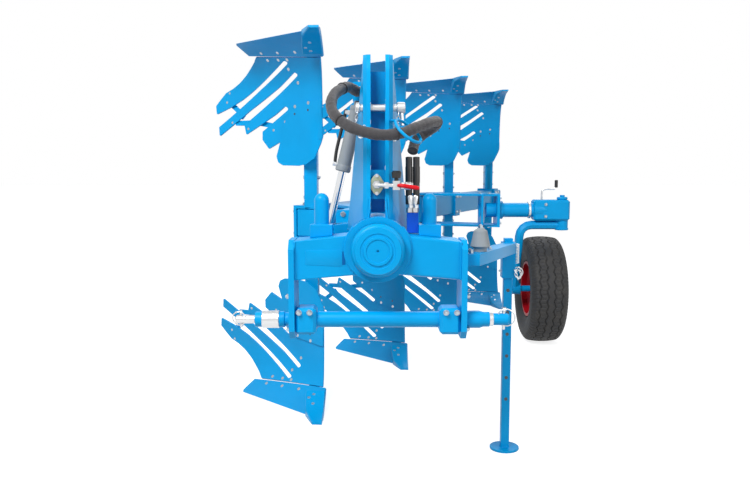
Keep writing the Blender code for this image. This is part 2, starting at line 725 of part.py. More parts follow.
def stand(root, leg_body):
    """Bracket on the right side plate, and the leg that slides in its sleeve."""
    half = STAND_LEG / 2
    outside = half + RUNNING + SLEEVE_T
    near = PLATE_X + PLATE_T + GAP
    arm = [(near, 0.02), (near + 0.05, 0.02), (near + 0.09, 0.09), (STAND_X + outside, STAND_Y - outside),
           (STAND_X + outside, STAND_Y + outside), (STAND_X - outside, STAND_Y + outside),
           (STAND_X - outside, STAND_Y - outside + 0.01), (near, 0.10)]
    low, high = STAND_ARM_Z
    bar = prism(arm, low, high)
    sleeve = box((STAND_X - outside, STAND_Y - outside, 0.70), (STAND_X + outside, STAND_Y + outside, 0.845))
    hole = box((STAND_X - half - RUNNING, STAND_Y - half - RUNNING, 0.5),
               (STAND_X + half + RUNNING, STAND_Y + half + RUNNING, 1.2))
    keep("stand_bracket", cut(join(bar, sleeve), hole), BLUE, root)
    cone = turned([(high + GAP, 0.0), (high + GAP, 0.024), (high + 0.012, 0.024), (high + 0.020, 0.036),
                   (high + 0.075, 0.024), (high + 0.085, 0.010), (high + 0.085, 0.0)],
                  (near + 0.062, 0.100, 0), "Z", 20)
    keep("spindle_cone", cone, STEEL, root)
    leg = box((STAND_X - half, STAND_Y - half, GROUND + 0.006), (STAND_X + half, STAND_Y + half, STAND_TOP))
    foot = rod((STAND_X, STAND_Y, GROUND), (STAND_X, STAND_Y, GROUND + 0.010), STAND_FOOT_R)
    keep("stand_leg", join(leg, foot), BLUE, leg_body)


def turnover_cylinder(barrel_body, rod_body):
    """Hydraulic cylinder that turns the frame: eye on the mast, eye at the crank."""
    top, pin = Vector(CYL_TOP), Vector(CYL_PIN)
    along = (pin - top).normalized()
    side = Vector((0, EYE_W / 2, 0))
    eye = rod(top - side, top + side, EYE_R, sides=20)
    neck = rod(top + along * 0.015, top + along * 0.060, EYE_W / 2, sides=20)
    barrel = rod(top + along * 0.055, top + along * BARREL_L, BARREL_R, sides=20)
    bore = rod(top + along * 0.070, top + along * (BARREL_L + 0.1), ROD_R + RUNNING, sides=16)
    pin_hole = rod(top - side * 2, top + side * 2, 0.0127, sides=16)
    keep("cylinder_barrel", cut(join(eye, neck, barrel), bore, pin_hole), STEEL, barrel_body)
    rod_start = top + along * 0.080
    shaft = rod(rod_start, pin - along * 0.012, ROD_R, sides=16)
    low_eye = rod(pin - side, pin + side, EYE_R, sides=20)
    keep("cylinder_rod", join(shaft, low_eye), CHROME, rod_body)


def cylinder_lug():
    """Shapes of the lug behind the mast that holds the cylinder's upper pin."""
    x, y, z = CYL_TOP
    half = EYE_W / 2
    lug_t = 0.012
    back = y + half + 0.002
    plates = []
    for low, high in ((y - half - 0.002 - lug_t, y - half - 0.002), (back, back + lug_t)):
        plates.append(box((x - 0.032, low, z - 0.034), (x + 0.046, high, z + 0.034)))
    spine = box((x + 0.037, 0.055, z - 0.034), (x + 0.075, back + lug_t, z + 0.034))
    pin = rod((x, y - half - 0.010, z), (x, back + 0.010, z), 0.012, sides=16)
    return spine, *plates, pin


# ---------------------------------------------------------------- what turns over
def turnover_frame(frame):
    """Shaft with its crank, and the console that grips the beam from above and below."""
    shaft = rod((0, HUB_Y[0] + 0.0003, AXIS_Z), (0, CONSOLE_Y + 0.01, AXIS_Z), TURN_R)
    x, y, z = CYL_PIN
    cheek_gap = EYE_W / 2 + 0.005
    cheeks = []
    angle = math.atan2(z - AXIS_Z, x)
    for low, high in ((y - cheek_gap - 0.014, y - cheek_gap), (y + cheek_gap, y + cheek_gap + 0.014)):
        reach = math.hypot(x, z - AXIS_Z)
        outline = [(0.0, 0.085)]
        outline += [(reach + 0.032 * math.sin(a), 0.032 * math.cos(a)) for a in np.linspace(0, math.pi, 7)]
        outline += [(0.0, -0.085)]
        outline += [(-0.085 * math.sin(a), -0.085 * math.cos(a)) for a in np.linspace(0.4, math.pi - 0.4, 5)]
        turned_outline = [(u * math.cos(angle) - v * math.sin(angle),
                           AXIS_Z + u * math.sin(angle) + v * math.cos(angle)) for u, v in outline]
        cheeks.append(prism(turned_outline, low, high, "XZ"))
    flange = box((-0.17, CONSOLE_Y, AXIS_Z - 0.105), (0.17, CONSOLE_Y + CONSOLE_T, AXIS_Z + 0.105))
    keep("turnover_shaft", join(shaft, flange, *cheeks), BLUE, frame)
    outline = [(-0.165, CONSOLE_Y + CONSOLE_T + GAP), (0.165, CONSOLE_Y + CONSOLE_T + GAP), (0.165, 0.70),
               (0.07, 1.70), (-0.10, 1.78), (-0.27, 1.42), (-0.12, 1.05), (-0.165, 0.80)]
    low = BEAM_H / 2 + GAP
    plates = []
    for side in (-1, 1):
        a, b = sorted((AXIS_Z + side * low, AXIS_Z + side * (low + CONSOLE_PLATE_T)))
        plates.append(prism(outline, a, b))
    webs = [box((x - 0.007, CONSOLE_Y + CONSOLE_T + GAP, AXIS_Z - low - 0.008),
                (x + 0.007, 0.95, AXIS_Z + low + 0.008)) for x in (-0.11, 0.09)]
    keep("turnover_console", join(plates[0], plates[1], *webs), BLUE, frame)


def wheel_bracket(frame):
    """Arm from the beam out to the carrier tube of the wheel."""
    along = (SWING_Y + 0.16 - leg_centre(0)[1]) / math.cos(BEAM_YAW)
    clamp = beam_clamp(0.18, along)
    base = leg_centre(0)[0] - math.sin(BEAM_YAW) * along
    half = BRACKET_H
    outline = [(base - 0.03, SWING_Y + 0.09), (CONSOLE_X, SWING_Y - 0.085), (CONSOLE_X, SWING_Y + 0.085),
               (base + 0.10, SWING_Y + 0.27)]
    shapes = [clamp]
    for side in (-1, 1):
        a, b = sorted((AXIS_Z + side * (half - 0.014), AXIS_Z + side * half))
        shapes.append(prism(outline, a, b))
    start = base + 0.125
    shapes.append(box((start, SWING_Y + 0.06, AXIS_Z - half + 0.004), (start + 0.014, SWING_Y + 0.20,
                                                                     AXIS_Z + half - 0.004)))
    pad_low, pad_high = BEAM_H / 2 + CLAMP_T / 2, half - 0.004
    for side in (-1, 1):
        a, b = sorted((AXIS_Z + side * pad_low, AXIS_Z + side * pad_high))
        shapes.append(box((base - 0.04, SWING_Y + 0.12, a), (base + 0.04, SWING_Y + 0.20, b)))
    end = box((CONSOLE_X - 0.018, SWING_Y - 0.085, AXIS_Z - half), (CONSOLE_X, SWING_Y + 0.085, AXIS_Z + half))
    inner = box((CONSOLE_X - 0.118, SWING_Y - 0.075, AXIS_Z - half + 0.002),
                (CONSOLE_X - 0.104, SWING_Y + 0.085, AXIS_Z + half - 0.002))
    bore = rod((0.5, SWING_Y, AXIS_Z), (1.2, SWING_Y, AXIS_Z), CARRIER_R + RUNNING)
    keep("wheel_bracket", cut(join(*shapes, end, inner), bore), BLUE, frame)


def wheel_head(swing):
    """Carrier tube and the head at its outer end, with the swivel pin's bearing."""
    tube = rod((CARRIER_X[0], SWING_Y, AXIS_Z), (CARRIER_X[1], SWING_Y, AXIS_Z), CARRIER_R)
    collar = rod((CONSOLE_X + 0.006, SWING_Y, AXIS_Z), (CONSOLE_X + 0.026, SWING_Y, AXIS_Z), CARRIER_R + 0.012)
    head = softened(box((1.0, SWING_Y - 0.055, AXIS_Z - HEAD_H), (SWIVEL_X + 0.04, SWING_Y + 0.055,
                                                              AXIS_Z + HEAD_H)), 0.012)
    bore = rod((SWIVEL_X, SWING_Y, 0.5), (SWIVEL_X, SWING_Y, 1.2), 0.018, sides=20)
    keep("wheel_head", cut(join(tube, collar, head), bore), BLUE, swing)


def wheel_arm(swivel):
    """Cranked arm from the swivel pin, over and down to the axle."""
    top = AXIS_Z - HEAD_H - GAP
    level = top - ARM_R
    axle = (ARM_X, WHEEL_Y, GROUND + WHEEL_D / 2)
    bend = 0.075
    path = [(SWIVEL_X, SWING_Y, level), (ARM_X + bend, SWING_Y, level)]
    for a in np.linspace(0.25, 1.0, 4) * math.pi / 2:
        path.append((ARM_X + bend * (1 - math.sin(a)), SWING_Y, level - bend * (1 - math.cos(a))))
    path.append((ARM_X, SWING_Y + (WHEEL_Y - SWING_Y) * 0.5, (level + axle[2]) / 2 - 0.02))
    path.append((ARM_X, WHEEL_Y, axle[2] - 0.01))
    arm = pipe(path, ARM_R - 0.002, 2)
    boss = rod((SWIVEL_X, SWING_Y, level - ARM_R), (SWIVEL_X, SWING_Y, top), 0.040, sides=20)
    pin = rod((SWIVEL_X, SWING_Y, level), (SWIVEL_X, SWING_Y, AXIS_Z + HEAD_H + 0.03), 0.0155, sides=20)
    spindle = rod((ARM_X - 0.03, WHEEL_Y, axle[2]), (WHEEL_X + 0.03, WHEEL_Y, axle[2]), AXLE_R, sides=20)
    flange = rod((ARM_X - 0.02, WHEEL_Y, axle[2]), (ARM_X + 0.034, WHEEL_Y, axle[2]), 0.038, sides=20)
    keep("wheel_arm", join(arm, boss, pin, spindle, flange), BLUE, swivel)


def wheel(spin):
    place = (WHEEL_X, WHEEL_Y, GROUND + WHEEL_D / 2)
    half, rim_half = WHEEL_W / 2, 0.092
    wall = 0.006
    hub = 0.042
    bore = AXLE_R + RUNNING
    lip = RIM_R + 0.010
    rim = [(-rim_half, lip), (-rim_half + 0.006, lip), (-rim_half + 0.010, RIM_R), (rim_half - 0.010, RIM_R),
           (rim_half - 0.006, lip), (rim_half, lip), (rim_half, RIM_R - wall), (0.012, RIM_R - wall - 0.004),
           (0.006, 0.120), (0.022, 0.080), (0.045, hub), (0.045, bore), (-0.045, bore), (-0.045, hub),
           (-0.012, hub), (0.010, 0.080), (-0.006, 0.120), (-0.002, RIM_R - wall - 0.004),
           (-rim_half, RIM_R - wall)]
    keep("wheel_rim", turned(rim, place, "X", WHEEL_STEPS), RED, spin)
    top = WHEEL_D / 2
    bead = RIM_R + GAP
    profile = [(-rim_half + 0.0115, bead), (-rim_half + 0.0115, lip + 0.003), (-half * 0.92, bead + 0.045), (-half, (bead + top) / 2 + 0.01),
               (-half * 0.95, top - 0.045), (-half * 0.80, top - 0.014), (-half * 0.45, top - 0.002),
               (0.0, top), (half * 0.45, top - 0.002), (half * 0.80, top - 0.014), (half * 0.95, top - 0.045),
               (half, (bead + top) / 2 + 0.01), (half * 0.92, bead + 0.045),
               (rim_half - 0.0115, lip + 0.003), (rim_half - 0.0115, bead)]
    keep("wheel_tyre", turned(profile, place, "X", WHEEL_STEPS), TYRE, spin)


# ---------------------------------------------------------------- the whole plough
def clear_scene():
    for old in list(bpy.data.objects):
        bpy.data.objects.remove(old)


def centre_on_floor(root):
    """Moves the plough so that the origin is on the floor under the middle of its box."""
    bpy.context.view_layer.update()
    graph = bpy.context.evaluated_depsgraph_get()
    places = []
    for made in bpy.data.collections["reversible_plough"].objects:
        if made.type == "MESH":
            mesh = made.evaluated_get(graph).data
            points = np.empty(len(mesh.vertices) * 3)
            mesh.vertices.foreach_get("co", points)
            matrix = np.array(made.matrix_world)
            points = points.reshape(-1, 3) @ matrix[:3, :3].T + matrix[:3, 3]
            places += [points.min(axis=0), points.max(axis=0)]
    middle = (np.min(places, axis=0) + np.max(places, axis=0)) / 2
    root.location = (-middle[0], -middle[1], -GROUND)
    bpy.context.view_layer.update()


def main():
    clear_scene()
    collection("reversible_plough")
    collection("cutters", hidden=True)
    root = axis_empty("plough", (0, 0, 0))
    frame = axis_empty("turnover_axis", (0, CONSOLE_Y, AXIS_Z), root)
    swing = axis_empty("wheel_swing_axis", (SWIVEL_X, SWING_Y, AXIS_Z), frame)
    swivel = axis_empty("wheel_swivel_axis", (SWIVEL_X, SWING_Y, AXIS_Z), swing)
    spin = axis_empty("wheel_spin_axis", (WHEEL_X, WHEEL_Y, GROUND + WHEEL_D / 2), swivel)
    leg = axis_empty("stand_axis", (STAND_X, STAND_Y, 0), root)
    barrel = axis_empty("cylinder_axis", CYL_TOP, root)
    rod_end = axis_empty("cylinder_rod_axis", CYL_PIN, barrel)
    headstock(root)
    hub_cap(root)
    cross_shaft(root)
    mast(root)
    top_link_pin(root)
    turn_stops(root)
    valve_block(root)
    ball_valve(root)
    hoses(root)
    stand(root, leg)
    turnover_cylinder(barrel, rod_end)
    turnover_frame(frame)
    beam(frame)
    bodies(frame)
    wheel_bracket(frame)
    wheel_head(swing)
    wheel_arm(swivel)
    wheel(spin)
    for helper in list(bpy.data.collections["cutters"].objects):
        bpy.data.objects.remove(helper)
    centre_on_floor(root)


main()
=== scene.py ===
"""Looks of the mounted reversible plough: enamel, forged wearing parts, hoses, bolts, tyre, light, camera."""

import json
import math

import bmesh
import bpy
import numpy as np
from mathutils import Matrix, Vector
from mathutils.geometry import delaunay_2d_cdt


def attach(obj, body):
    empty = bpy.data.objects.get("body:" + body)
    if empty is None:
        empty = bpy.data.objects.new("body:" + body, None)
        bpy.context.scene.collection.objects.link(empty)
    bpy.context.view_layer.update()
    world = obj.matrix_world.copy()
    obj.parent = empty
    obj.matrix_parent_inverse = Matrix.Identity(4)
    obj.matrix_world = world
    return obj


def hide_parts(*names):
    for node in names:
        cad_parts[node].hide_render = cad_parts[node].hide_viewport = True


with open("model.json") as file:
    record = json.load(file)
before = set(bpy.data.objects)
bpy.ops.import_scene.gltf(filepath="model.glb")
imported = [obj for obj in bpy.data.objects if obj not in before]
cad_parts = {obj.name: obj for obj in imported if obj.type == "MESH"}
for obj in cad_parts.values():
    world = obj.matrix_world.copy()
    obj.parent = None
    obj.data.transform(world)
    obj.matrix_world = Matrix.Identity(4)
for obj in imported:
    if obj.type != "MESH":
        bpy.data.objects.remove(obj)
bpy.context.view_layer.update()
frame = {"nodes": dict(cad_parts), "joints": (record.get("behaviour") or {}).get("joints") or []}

bl_info = {
    "name": "Reversible plough",
    "version": (1, 0, 0),
    "blender": (4, 5, 0),
    "location": "3D View > Sidebar > Plough",
    "description": "Finishes and small pieces of a four-furrow reversible plough",
    "category": "Object",
}

# ---------------------------------------------------------------- sizes shared with the solids, in metres
TURNOVER = next(j for j in frame["joints"] if j["name"] == "turnover")["pos_m"]
AXIS_Z, BODY_HEIGHT = 0.865, 1.76
GROUND = AXIS_Z - BODY_HEIGHT / 2
ORIGIN = Vector((TURNOVER[0], TURNOVER[1] - 0.470, TURNOVER[2] - AXIS_Z))
FURROWS = 4
FURROW_WIDTH, BODY_PITCH = 0.431, 0.92
FIRST_TIP = (-0.25, 0.70)
BEAM_YAW = -math.atan2(FURROW_WIDTH, BODY_PITCH)
LEG_X, LEG_Y = (0.046, 0.110), (0.44, 0.55)
BEAM_W, CLAMP_T = 0.12, 0.016
HITCH_Z, LINK_Z, LINK_Y = 0.615, 1.345, 0.022
PLATE_X, PLATE_T = 0.286, 0.020
STAND_X, STAND_Y = 0.525, 0.420
CYL_TOP, CYL_PIN = (-0.060, 0.250, 1.420), (-0.189, 0.250, 0.895)
WHEEL_X, WHEEL_Y, WHEEL_D, WHEEL_W = 1.088, 2.370, 0.700, 0.235
AXLE_Z = GROUND + WHEEL_D / 2
SWING_Y, SWIVEL_X, CONSOLE_X = 2.250, 1.190, 0.780
SHARE_LENGTH, SHARE_TOP = 0.445, (0.100, 0.046)
FACE_LIFT = 0.0012           # new plates stand this far off the old ones' faces


class PloughPaint(bpy.types.PropertyGroup):
    enamel: bpy.props.StringProperty(name="Enamel", description="Main paint, sRGB hex", default="009CDC")
    rim: bpy.props.StringProperty(name="Rim", description="Paint of the wheel's rim, sRGB hex",
                                  default="B3101E")
    wear: bpy.props.FloatProperty(name="Edge wear", description="Share of worn paint along edges",
                                  default=0.12,
                                  min=0, max=1, subtype="FACTOR")


class PloughSizes(bpy.types.PropertyGroup):
    board: bpy.props.FloatProperty(name="Board", description="Thickness of a mouldboard", default=0.008,
                                   unit="LENGTH")
    share: bpy.props.FloatProperty(name="Share", description="Thickness of a share", default=0.012,
                                   unit="LENGTH")
    trash: bpy.props.FloatProperty(name="Trash board", description="Thickness of a trash board",
                                   default=0.006,
                                   unit="LENGTH")
    bolt: bpy.props.FloatProperty(name="Plough bolt", description="Width of a countersunk bolt's head",
                                  default=0.016, unit="LENGTH")
    grid: bpy.props.FloatProperty(name="Grid", description="Distance between points of a plate's face",
                                  default=0.014, unit="LENGTH")


# ---------------------------------------------------------------- materials
def linear(code):
    """sRGB hex to linear: a channel over 0.04045 is ((c + 0.055) / 1.055) to the power 2.4, or else c /
    12.92."""
    out = []
    for k in (0, 2, 4):
        c = int(code[k:k + 2], 16) / 255
        out.append(((c + 0.055) / 1.055) ** 2.4 if c > 0.04045 else c / 12.92)
    return (*out, 1.0)


def node(tree, kind, settings=None, **links):
    """Adds a node, sets its attributes or sockets by name, and links the given sockets."""
    made = tree.nodes.new("ShaderNode" + kind)
    for key, value in (settings or {}).items():
        if hasattr(made, key):
            setattr(made, key, value)
        else:
            made.inputs[int(key) if key.isdigit() else key].default_value = value
    for key, socket in links.items():
        name = key.replace("_", " ")
        tree.links.new(socket, made.inputs[int(key[1:]) if key[1:].isdigit() else name])
    return made


def finish(name, colour, metallic=0.0, roughness=0.4, **sockets):
    """A Principled material to build on: returns the material, its tree, shader and Object coordinates."""
    made = bpy.data.materials.new(name)
    made.use_nodes = True
    tree = made.node_tree
    shader = tree.nodes["Principled BSDF"]
    shader.inputs["Base Color"].default_value = linear(colour)
    shader.inputs["Metallic"].default_value = metallic
    shader.inputs["Roughness"].default_value = roughness
    for key, value in sockets.items():
        shader.inputs[key.replace("_", " ")].default_value = value
    return made, tree, shader, node(tree, "TexCoord").outputs["Object"]


def bumped(tree, shader, height, strength, distance):
    bump = node(tree, "Bump", {"Strength": strength, "Distance": distance}, Height=height)
    tree.links.new(bump.outputs[0], shader.inputs["Normal"])


def enamel(name, colour, dusty, roughness=0.30, wear=0.0):
    """Sprayed two-pack machinery enamel over steel: glossy, faint orange peel of about 4 mm, slow drift of tone
    towards a duller dusty blue, and with wear, the odd scuff to bare steel where a noise peaks."""
    made, tree, shader, at = finish(name, colour, 0.0, roughness, Specular_IOR_Level=0.16)
    peel = node(tree, "TexNoise", {"Scale": 240.0, "Detail": 2.0}, Vector=at)
    drift = node(tree, "TexNoise", {"Scale": 5.0, "Detail": 3.0}, Vector=at)
    tone = node(tree, "Mix", {"data_type": "RGBA", "6": linear(dusty), "7": linear(colour)},
                Factor=node(tree, "MapRange", {"1": 0.30, "2": 0.55, "3": 0.55, "4": 1.0},
                            Value=drift.outputs[0]).outputs[0])
    colour_out = tone.outputs[2]
    if wear:
        scuff = node(tree, "TexNoise", {"Scale": 60.0, "Detail": 6.0, "Roughness": 0.7}, Vector=at)
        rub = node(tree, "MapRange", {"1": 0.74 - 0.2 * wear, "2": 0.80 - 0.2 * wear, "3": 0.0, "4": 0.75},
                   Value=scuff.outputs[0])
        bare = node(tree, "Mix", {"data_type": "RGBA", "7": linear("5F666B")}, Factor=rub.outputs[0],
                    i6=colour_out)
        colour_out = bare.outputs[2]
    tree.links.new(colour_out, shader.inputs["Base Color"])
    bumped(tree, shader, peel.outputs[0], 0.10, 0.0006)
    return made


def zinc(name, colour="C9CACB", roughness=0.34):
    """Electroplated zinc on turned steel: bright grey metal with a fine, cloudy sheen."""
    made, tree, shader, at = finish(name, colour, 1.0, roughness)
    cloud = node(tree, "TexNoise", {"Scale": 90.0, "Detail": 4.0}, Vector=at)
    rough = node(tree, "MapRange", {"3": roughness - 0.10, "4": roughness + 0.14}, Value=cloud.outputs[0])
    tree.links.new(rough.outputs[0], shader.inputs["Roughness"])
    bumped(tree, shader, cloud.outputs[0], 0.08, 0.0004)
    return made


def rubber(name, colour, roughness, grain, depth):
    """Moulded or woven-covered rubber: dull black with a fine grain."""
    made, tree, shader, at = finish(name, colour, 0.0, roughness)
    rough_skin = node(tree, "TexNoise", {"Scale": grain, "Detail": 3.0}, Vector=at)
    dust = node(tree, "TexNoise", {"Scale": 14.0, "Detail": 4.0}, Vector=at)
    tone = node(tree, "Mix", {"data_type": "RGBA", "6": linear(colour), "7": linear("3A3835")},
                Factor=node(tree, "MapRange", {"1": 0.45, "2": 0.75, "3": 0.0, "4": 0.6},
                            Value=dust.outputs[0]).outputs[0])
    tree.links.new(tone.outputs[2], shader.inputs["Base Color"])
    bumped(tree, shader, rough_skin.outputs[0], 0.5, depth)
    return made


def braid(name):
    """Woven nylon hose sleeve: two sets of dark threads crossing, about 5 mm apart, read from the piece's
    own UV."""
    made, tree, shader, _ = finish(name, "1B1A1C", 0.0, 0.72, Sheen_Weight=0.3)
    uv = node(tree, "TexCoord").outputs["UV"]
    waves = []
    for turn in (0.6, -0.6):
        turned = node(tree, "Mapping", {"Rotation": (0, 0, turn)}, Vector=uv)
        waves.append(node(tree, "TexWave", {"Scale": 22.0, "Distortion": 0.0},
                          Vector=turned.outputs[0]).outputs[1])
    weave = node(tree, "Math", {"operation": "MAXIMUM"}, i0=waves[0], i1=waves[1])
    tone = node(tree, "Mix", {"data_type": "RGBA", "6": linear("0E0D0E"), "7": linear("3A383C")},
                Factor=weave.outputs[0])
    tree.links.new(tone.outputs[2], shader.inputs["Base Color"])
    bumped(tree, shader, weave.outputs[0], 0.6, 0.0010)
    return made


def make_materials(paint):
    dusty = "0091CD"
    kinds = {
        "enamel": enamel("sprayed_blue_enamel", paint.enamel, dusty, 0.33),
        "wearing": enamel("sprayed_blue_enamel_on_wearing_steel", paint.enamel, dusty, 0.30, paint.wear),
        "deep_blue": enamel("anodised_blue_valve_block", "0A55C8", "0848A8", 0.26),
        # painted shade: a deeper blue that stands in for the shade inside the blank plate's slot
        "shade": enamel("unlit_blue_enamel_recess", "0062A8", "005C9C", 0.45),
        "olive": zinc("olive_passivated_steel", "8F9684", 0.46),
        "red": enamel("sprayed_red_enamel", paint.rim, "8E0E18", 0.34),
        "grey": enamel("grey_primer_enamel", "8D9499", "7C848A", 0.42),
        "zinc": zinc("zinc_plated_steel"),
        "bolt": zinc("plated_plough_bolt", "AEB6BC", 0.30),
        "chrome": zinc("hard_chromed_rod", "E4E6E8", 0.12),
        # dark grey steel for the hub cap's mark, and painted shade: dark discs in empty holes stand in for the shade
        # inside them
        "dark_steel": zinc("dark_steel_and_painted_hole_shade", "4B4F53", 0.45),
        "hose": rubber("hydraulic_hose_rubber", "161617", 0.48, 320.0, 0.0004),
        "sleeve": braid("woven_nylon_hose_sleeve"),
        "tyre": rubber("vulcanised_tyre_rubber", "222223", 0.70, 420.0, 0.0006),
        "plastic": finish("black_moulded_polyamide", "151516", 0.0, 0.38)[0],
        "lever": enamel("red_vinyl_grip", "D01823", "B81420", 0.30),
    }
    return kinds


MADE = {}


# ---------------------------------------------------------------- shapes
def shown(name, points, faces, material, body, smooth=35.0, uvs=None, slot=None):
    """Puts design-frame points and faces into one mesh whose object sits at the origin, and rides it on a
    body."""
    mesh = bpy.data.meshes.new(name)
    moved = np.asarray(points, float) + np.array(ORIGIN)
    mesh.from_pydata(moved.tolist(), [], [list(map(int, f)) for f in faces])
    mesh.validate()
    if uvs is not None:
        layer = mesh.uv_layers.new(name="along")
        corner = np.empty(len(mesh.loops), np.int32)
        mesh.loops.foreach_get("vertex_index", corner)
        layer.data.foreach_set("uv", np.asarray(uvs, np.float32)[corner].ravel())
    bm = bmesh.new()
    bm.from_mesh(mesh)
    bmesh.ops.recalc_face_normals(bm, faces=bm.faces)
    bm.to_mesh(mesh)
    bm.free()
    made = bpy.data.objects.new(name, mesh)
    bpy.context.scene.collection.objects.link(made)
    mesh.materials.append(MADE[material])
    mesh.shade_smooth()
    mesh.set_sharp_from_angle(angle=math.radians(smooth))
    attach(made, body)
    return made


def merged(parts):
    """Several (points, faces) as one."""
    points, faces, start = [], [], 0
    for some, around in parts:
        some = np.asarray(some, float)
        points.append(some)
        faces += [[i + start for i in face] for face in around]
        start += len(some)
    return np.vstack(points), faces


def grid_faces(rows, columns, wrap_rows=False, wrap_columns=False):
    """Quads of a grid of points stored row by row, closed round either way."""
    r = np.arange(rows if wrap_rows else rows - 1)
    c = np.arange(columns if wrap_columns else columns - 1)
    r, c = [x.ravel() for x in np.meshgrid(r, c, indexing="ij")]
    r2, c2 = (r + 1) % rows, (c + 1) % columns
    return np.stack([r * columns + c, r * columns + c2, r2 * columns + c2, r2 * columns + c], axis=1).tolist()


def basis(axis):
    """Two unit vectors square to an axis, and the axis itself."""
    w = np.asarray(axis, float) / np.linalg.norm(axis)
    u = np.cross(w, (0.0, 0.0, 1.0) if abs(w[2]) < 0.9 else (0.0, 1.0, 0.0))
    u /= np.linalg.norm(u)
    return u, np.cross(w, u), w


def turned(profile, at, axis, steps=40):
    """A profile of (along, radius) turned round an axis: point = at + along x axis + radius x (cos a u + sin
    a v)."""
    profile = np.asarray(profile, float)
    u, v, w = basis(axis)
    a = np.linspace(0, 2 * math.pi, steps, endpoint=False)
    ring = np.cos(a)[:, None] * u + np.sin(a)[:, None] * v
    points = np.asarray(at, float) + profile[:, None, :1] * w + profile[:, None, 1:] * ring[None]
    faces = grid_faces(len(profile), steps, wrap_columns=True)
    points = points.reshape(-1, 3)
    for row, along in ((0, profile[0, 0]), (len(profile) - 1, profile[-1, 0])):
        hub = len(points)
        points = np.vstack([points, np.asarray(at, float) + along * w])
        first = row * steps
        faces += [[first + k, first + (k + 1) % steps, hub] for k in range(steps)]
    return points, faces


def chamfered(length, radius, edge=0.002):
    """Profile of a rod with chamfered ends."""
    return [(0, radius - edge), (edge, radius), (length - edge, radius), (length, radius - edge)]


def curve_through(points, count):
    """Evenly spaced points of the Catmull-Rom curve through a route."""
    route = np.asarray(points, float)
    ends = np.vstack([2 * route[0] - route[1], route, 2 * route[-1] - route[-2]])
    t = np.linspace(0, 1, 24, endpoint=False)[:, None]
    fine = [0.5 * (2 * ends[k] + (ends[k + 1] - ends[k - 1]) * t
                   + (2 * ends[k - 1] - 5 * ends[k] + 4 * ends[k + 1] - ends[k + 2]) * t ** 2
                   + (3 * ends[k] - ends[k - 1] - 3 * ends[k + 1] + ends[k + 2]) * t ** 3)
            for k in range(1, len(ends) - 2)]
    fine = np.vstack([*fine, route[-1:]])
    length = np.concatenate([[0], np.cumsum(np.linalg.norm(np.diff(fine, axis=0), axis=1))])
    even = np.linspace(0, length[-1], count)
    return np.stack([np.interp(even, length, fine[:, k]) for k in range(3)], axis=1)


def tube(path, radius, sides=14, closed=False):
    """A circle carried along a path, turned as little as it can from point to point. Also gives its UVs in
    metres."""
    path = np.asarray(path, float)
    n = len(path)
    radius = np.broadcast_to(np.asarray(radius, float), (n,))
    if closed:
        tangent = np.roll(path, -1, axis=0) - np.roll(path, 1, axis=0)
    else:
        tangent = np.gradient(path, axis=0)
    tangent /= np.linalg.norm(tangent, axis=1)[:, None]
    u = basis(tangent[0])[0]
    us = []
    for t in tangent:
        u = u - (u @ t) * t
        u = u / np.linalg.norm(u)
        us.append(u)
    us = np.array(us)
    vs = np.cross(tangent, us)
    a = np.linspace(0, 2 * math.pi, sides, endpoint=False)
    points = (path[:, None] + radius[:, None, None]
              * (np.cos(a)[None, :, None] * us[:, None] + np.sin(a)[None, :, None] * vs[:, None]))
    faces = grid_faces(n, sides, wrap_rows=closed, wrap_columns=True)
    points = points.reshape(-1, 3)
    if not closed:
        faces += [list(range(sides)), list(range((n - 1) * sides, n * sides))]
    length = np.concatenate([[0], np.cumsum(np.linalg.norm(np.diff(path, axis=0), axis=1))])
    uvs = np.stack(np.meshgrid(length * 10, a / (2 * math.pi) * 1.3, indexing="ij"), axis=-1).reshape(-1, 2)
    return points, faces, uvs


def slab(outline, near, far, plane="XZ", edge=0.0025):
    """A plate cut to an outline, with chamfered edges. Planes: XZ stands along Y, YZ along X, XY along Z."""
    order = {"XZ": (0, 2, 1), "YZ": (1, 2, 0), "XY": (0, 1, 2)}[plane]
    bm = bmesh.new()
    verts = []
    for a, b in outline:
        co = [0.0, 0.0, 0.0]
        co[order[0]], co[order[1]], co[order[2]] = a, b, near
        verts.append(bm.verts.new(co))
    face = bm.faces.new(verts)
    pushed = bmesh.ops.extrude_face_region(bm, geom=[face])
    step = [0.0, 0.0, 0.0]
    step[order[2]] = far - near
    bmesh.ops.translate(bm, verts=[g for g in pushed["geom"] if isinstance(g, bmesh.types.BMVert)], vec=step)
    if edge:
        caps = [e for e in bm.edges if abs(e.verts[0].co[order[2]] - e.verts[1].co[order[2]]) < 1e-9]
        bmesh.ops.bevel(bm, geom=caps, offset=edge, segments=2, profile=0.5, affect="EDGES")
    bm.verts.index_update()
    out = np.array([v.co[:] for v in bm.verts]), [[v.index for v in f.verts] for f in bm.faces]
    bm.free()
    return out


def hexagon(at, axis, width, height, turn=0.0):
    """A hexagon head or nut with its corners turned down: six sides, with a domed top of three rings."""
    u, v, w = basis(axis)
    a = np.arange(6) * math.pi / 3 + turn
    ring = np.cos(a)[:, None] * u + np.sin(a)[:, None] * v
    reach = width / math.sqrt(3)
    rows = [(0.0, reach), (height * 0.85, reach), (height, reach * 0.88)]
    points = np.vstack([np.asarray(at, float) + along * w + r * ring for along, r in rows])
    return points, grid_faces(3, 6, wrap_columns=True) + [list(range(12, 18)), list(range(6))]


def bolt(at, axis, size, turn=0.3, nut=False):
    """A washer, a hexagon head and, with a nut, the thread standing out of it."""
    at, w = np.asarray(at, float), basis(axis)[2]
    parts = [turned(chamfered(size * 0.16, size * 0.98, size * 0.03), at, axis, 20),
             hexagon(at + w * size * 0.14, axis, size * 1.5, size * (0.8 if nut else 0.62), turn)]
    if nut:
        parts.append(turned(chamfered(size * 0.45, size * 0.48, size * 0.08), at + w * size * 0.85, axis, 14))
    return merged(parts)


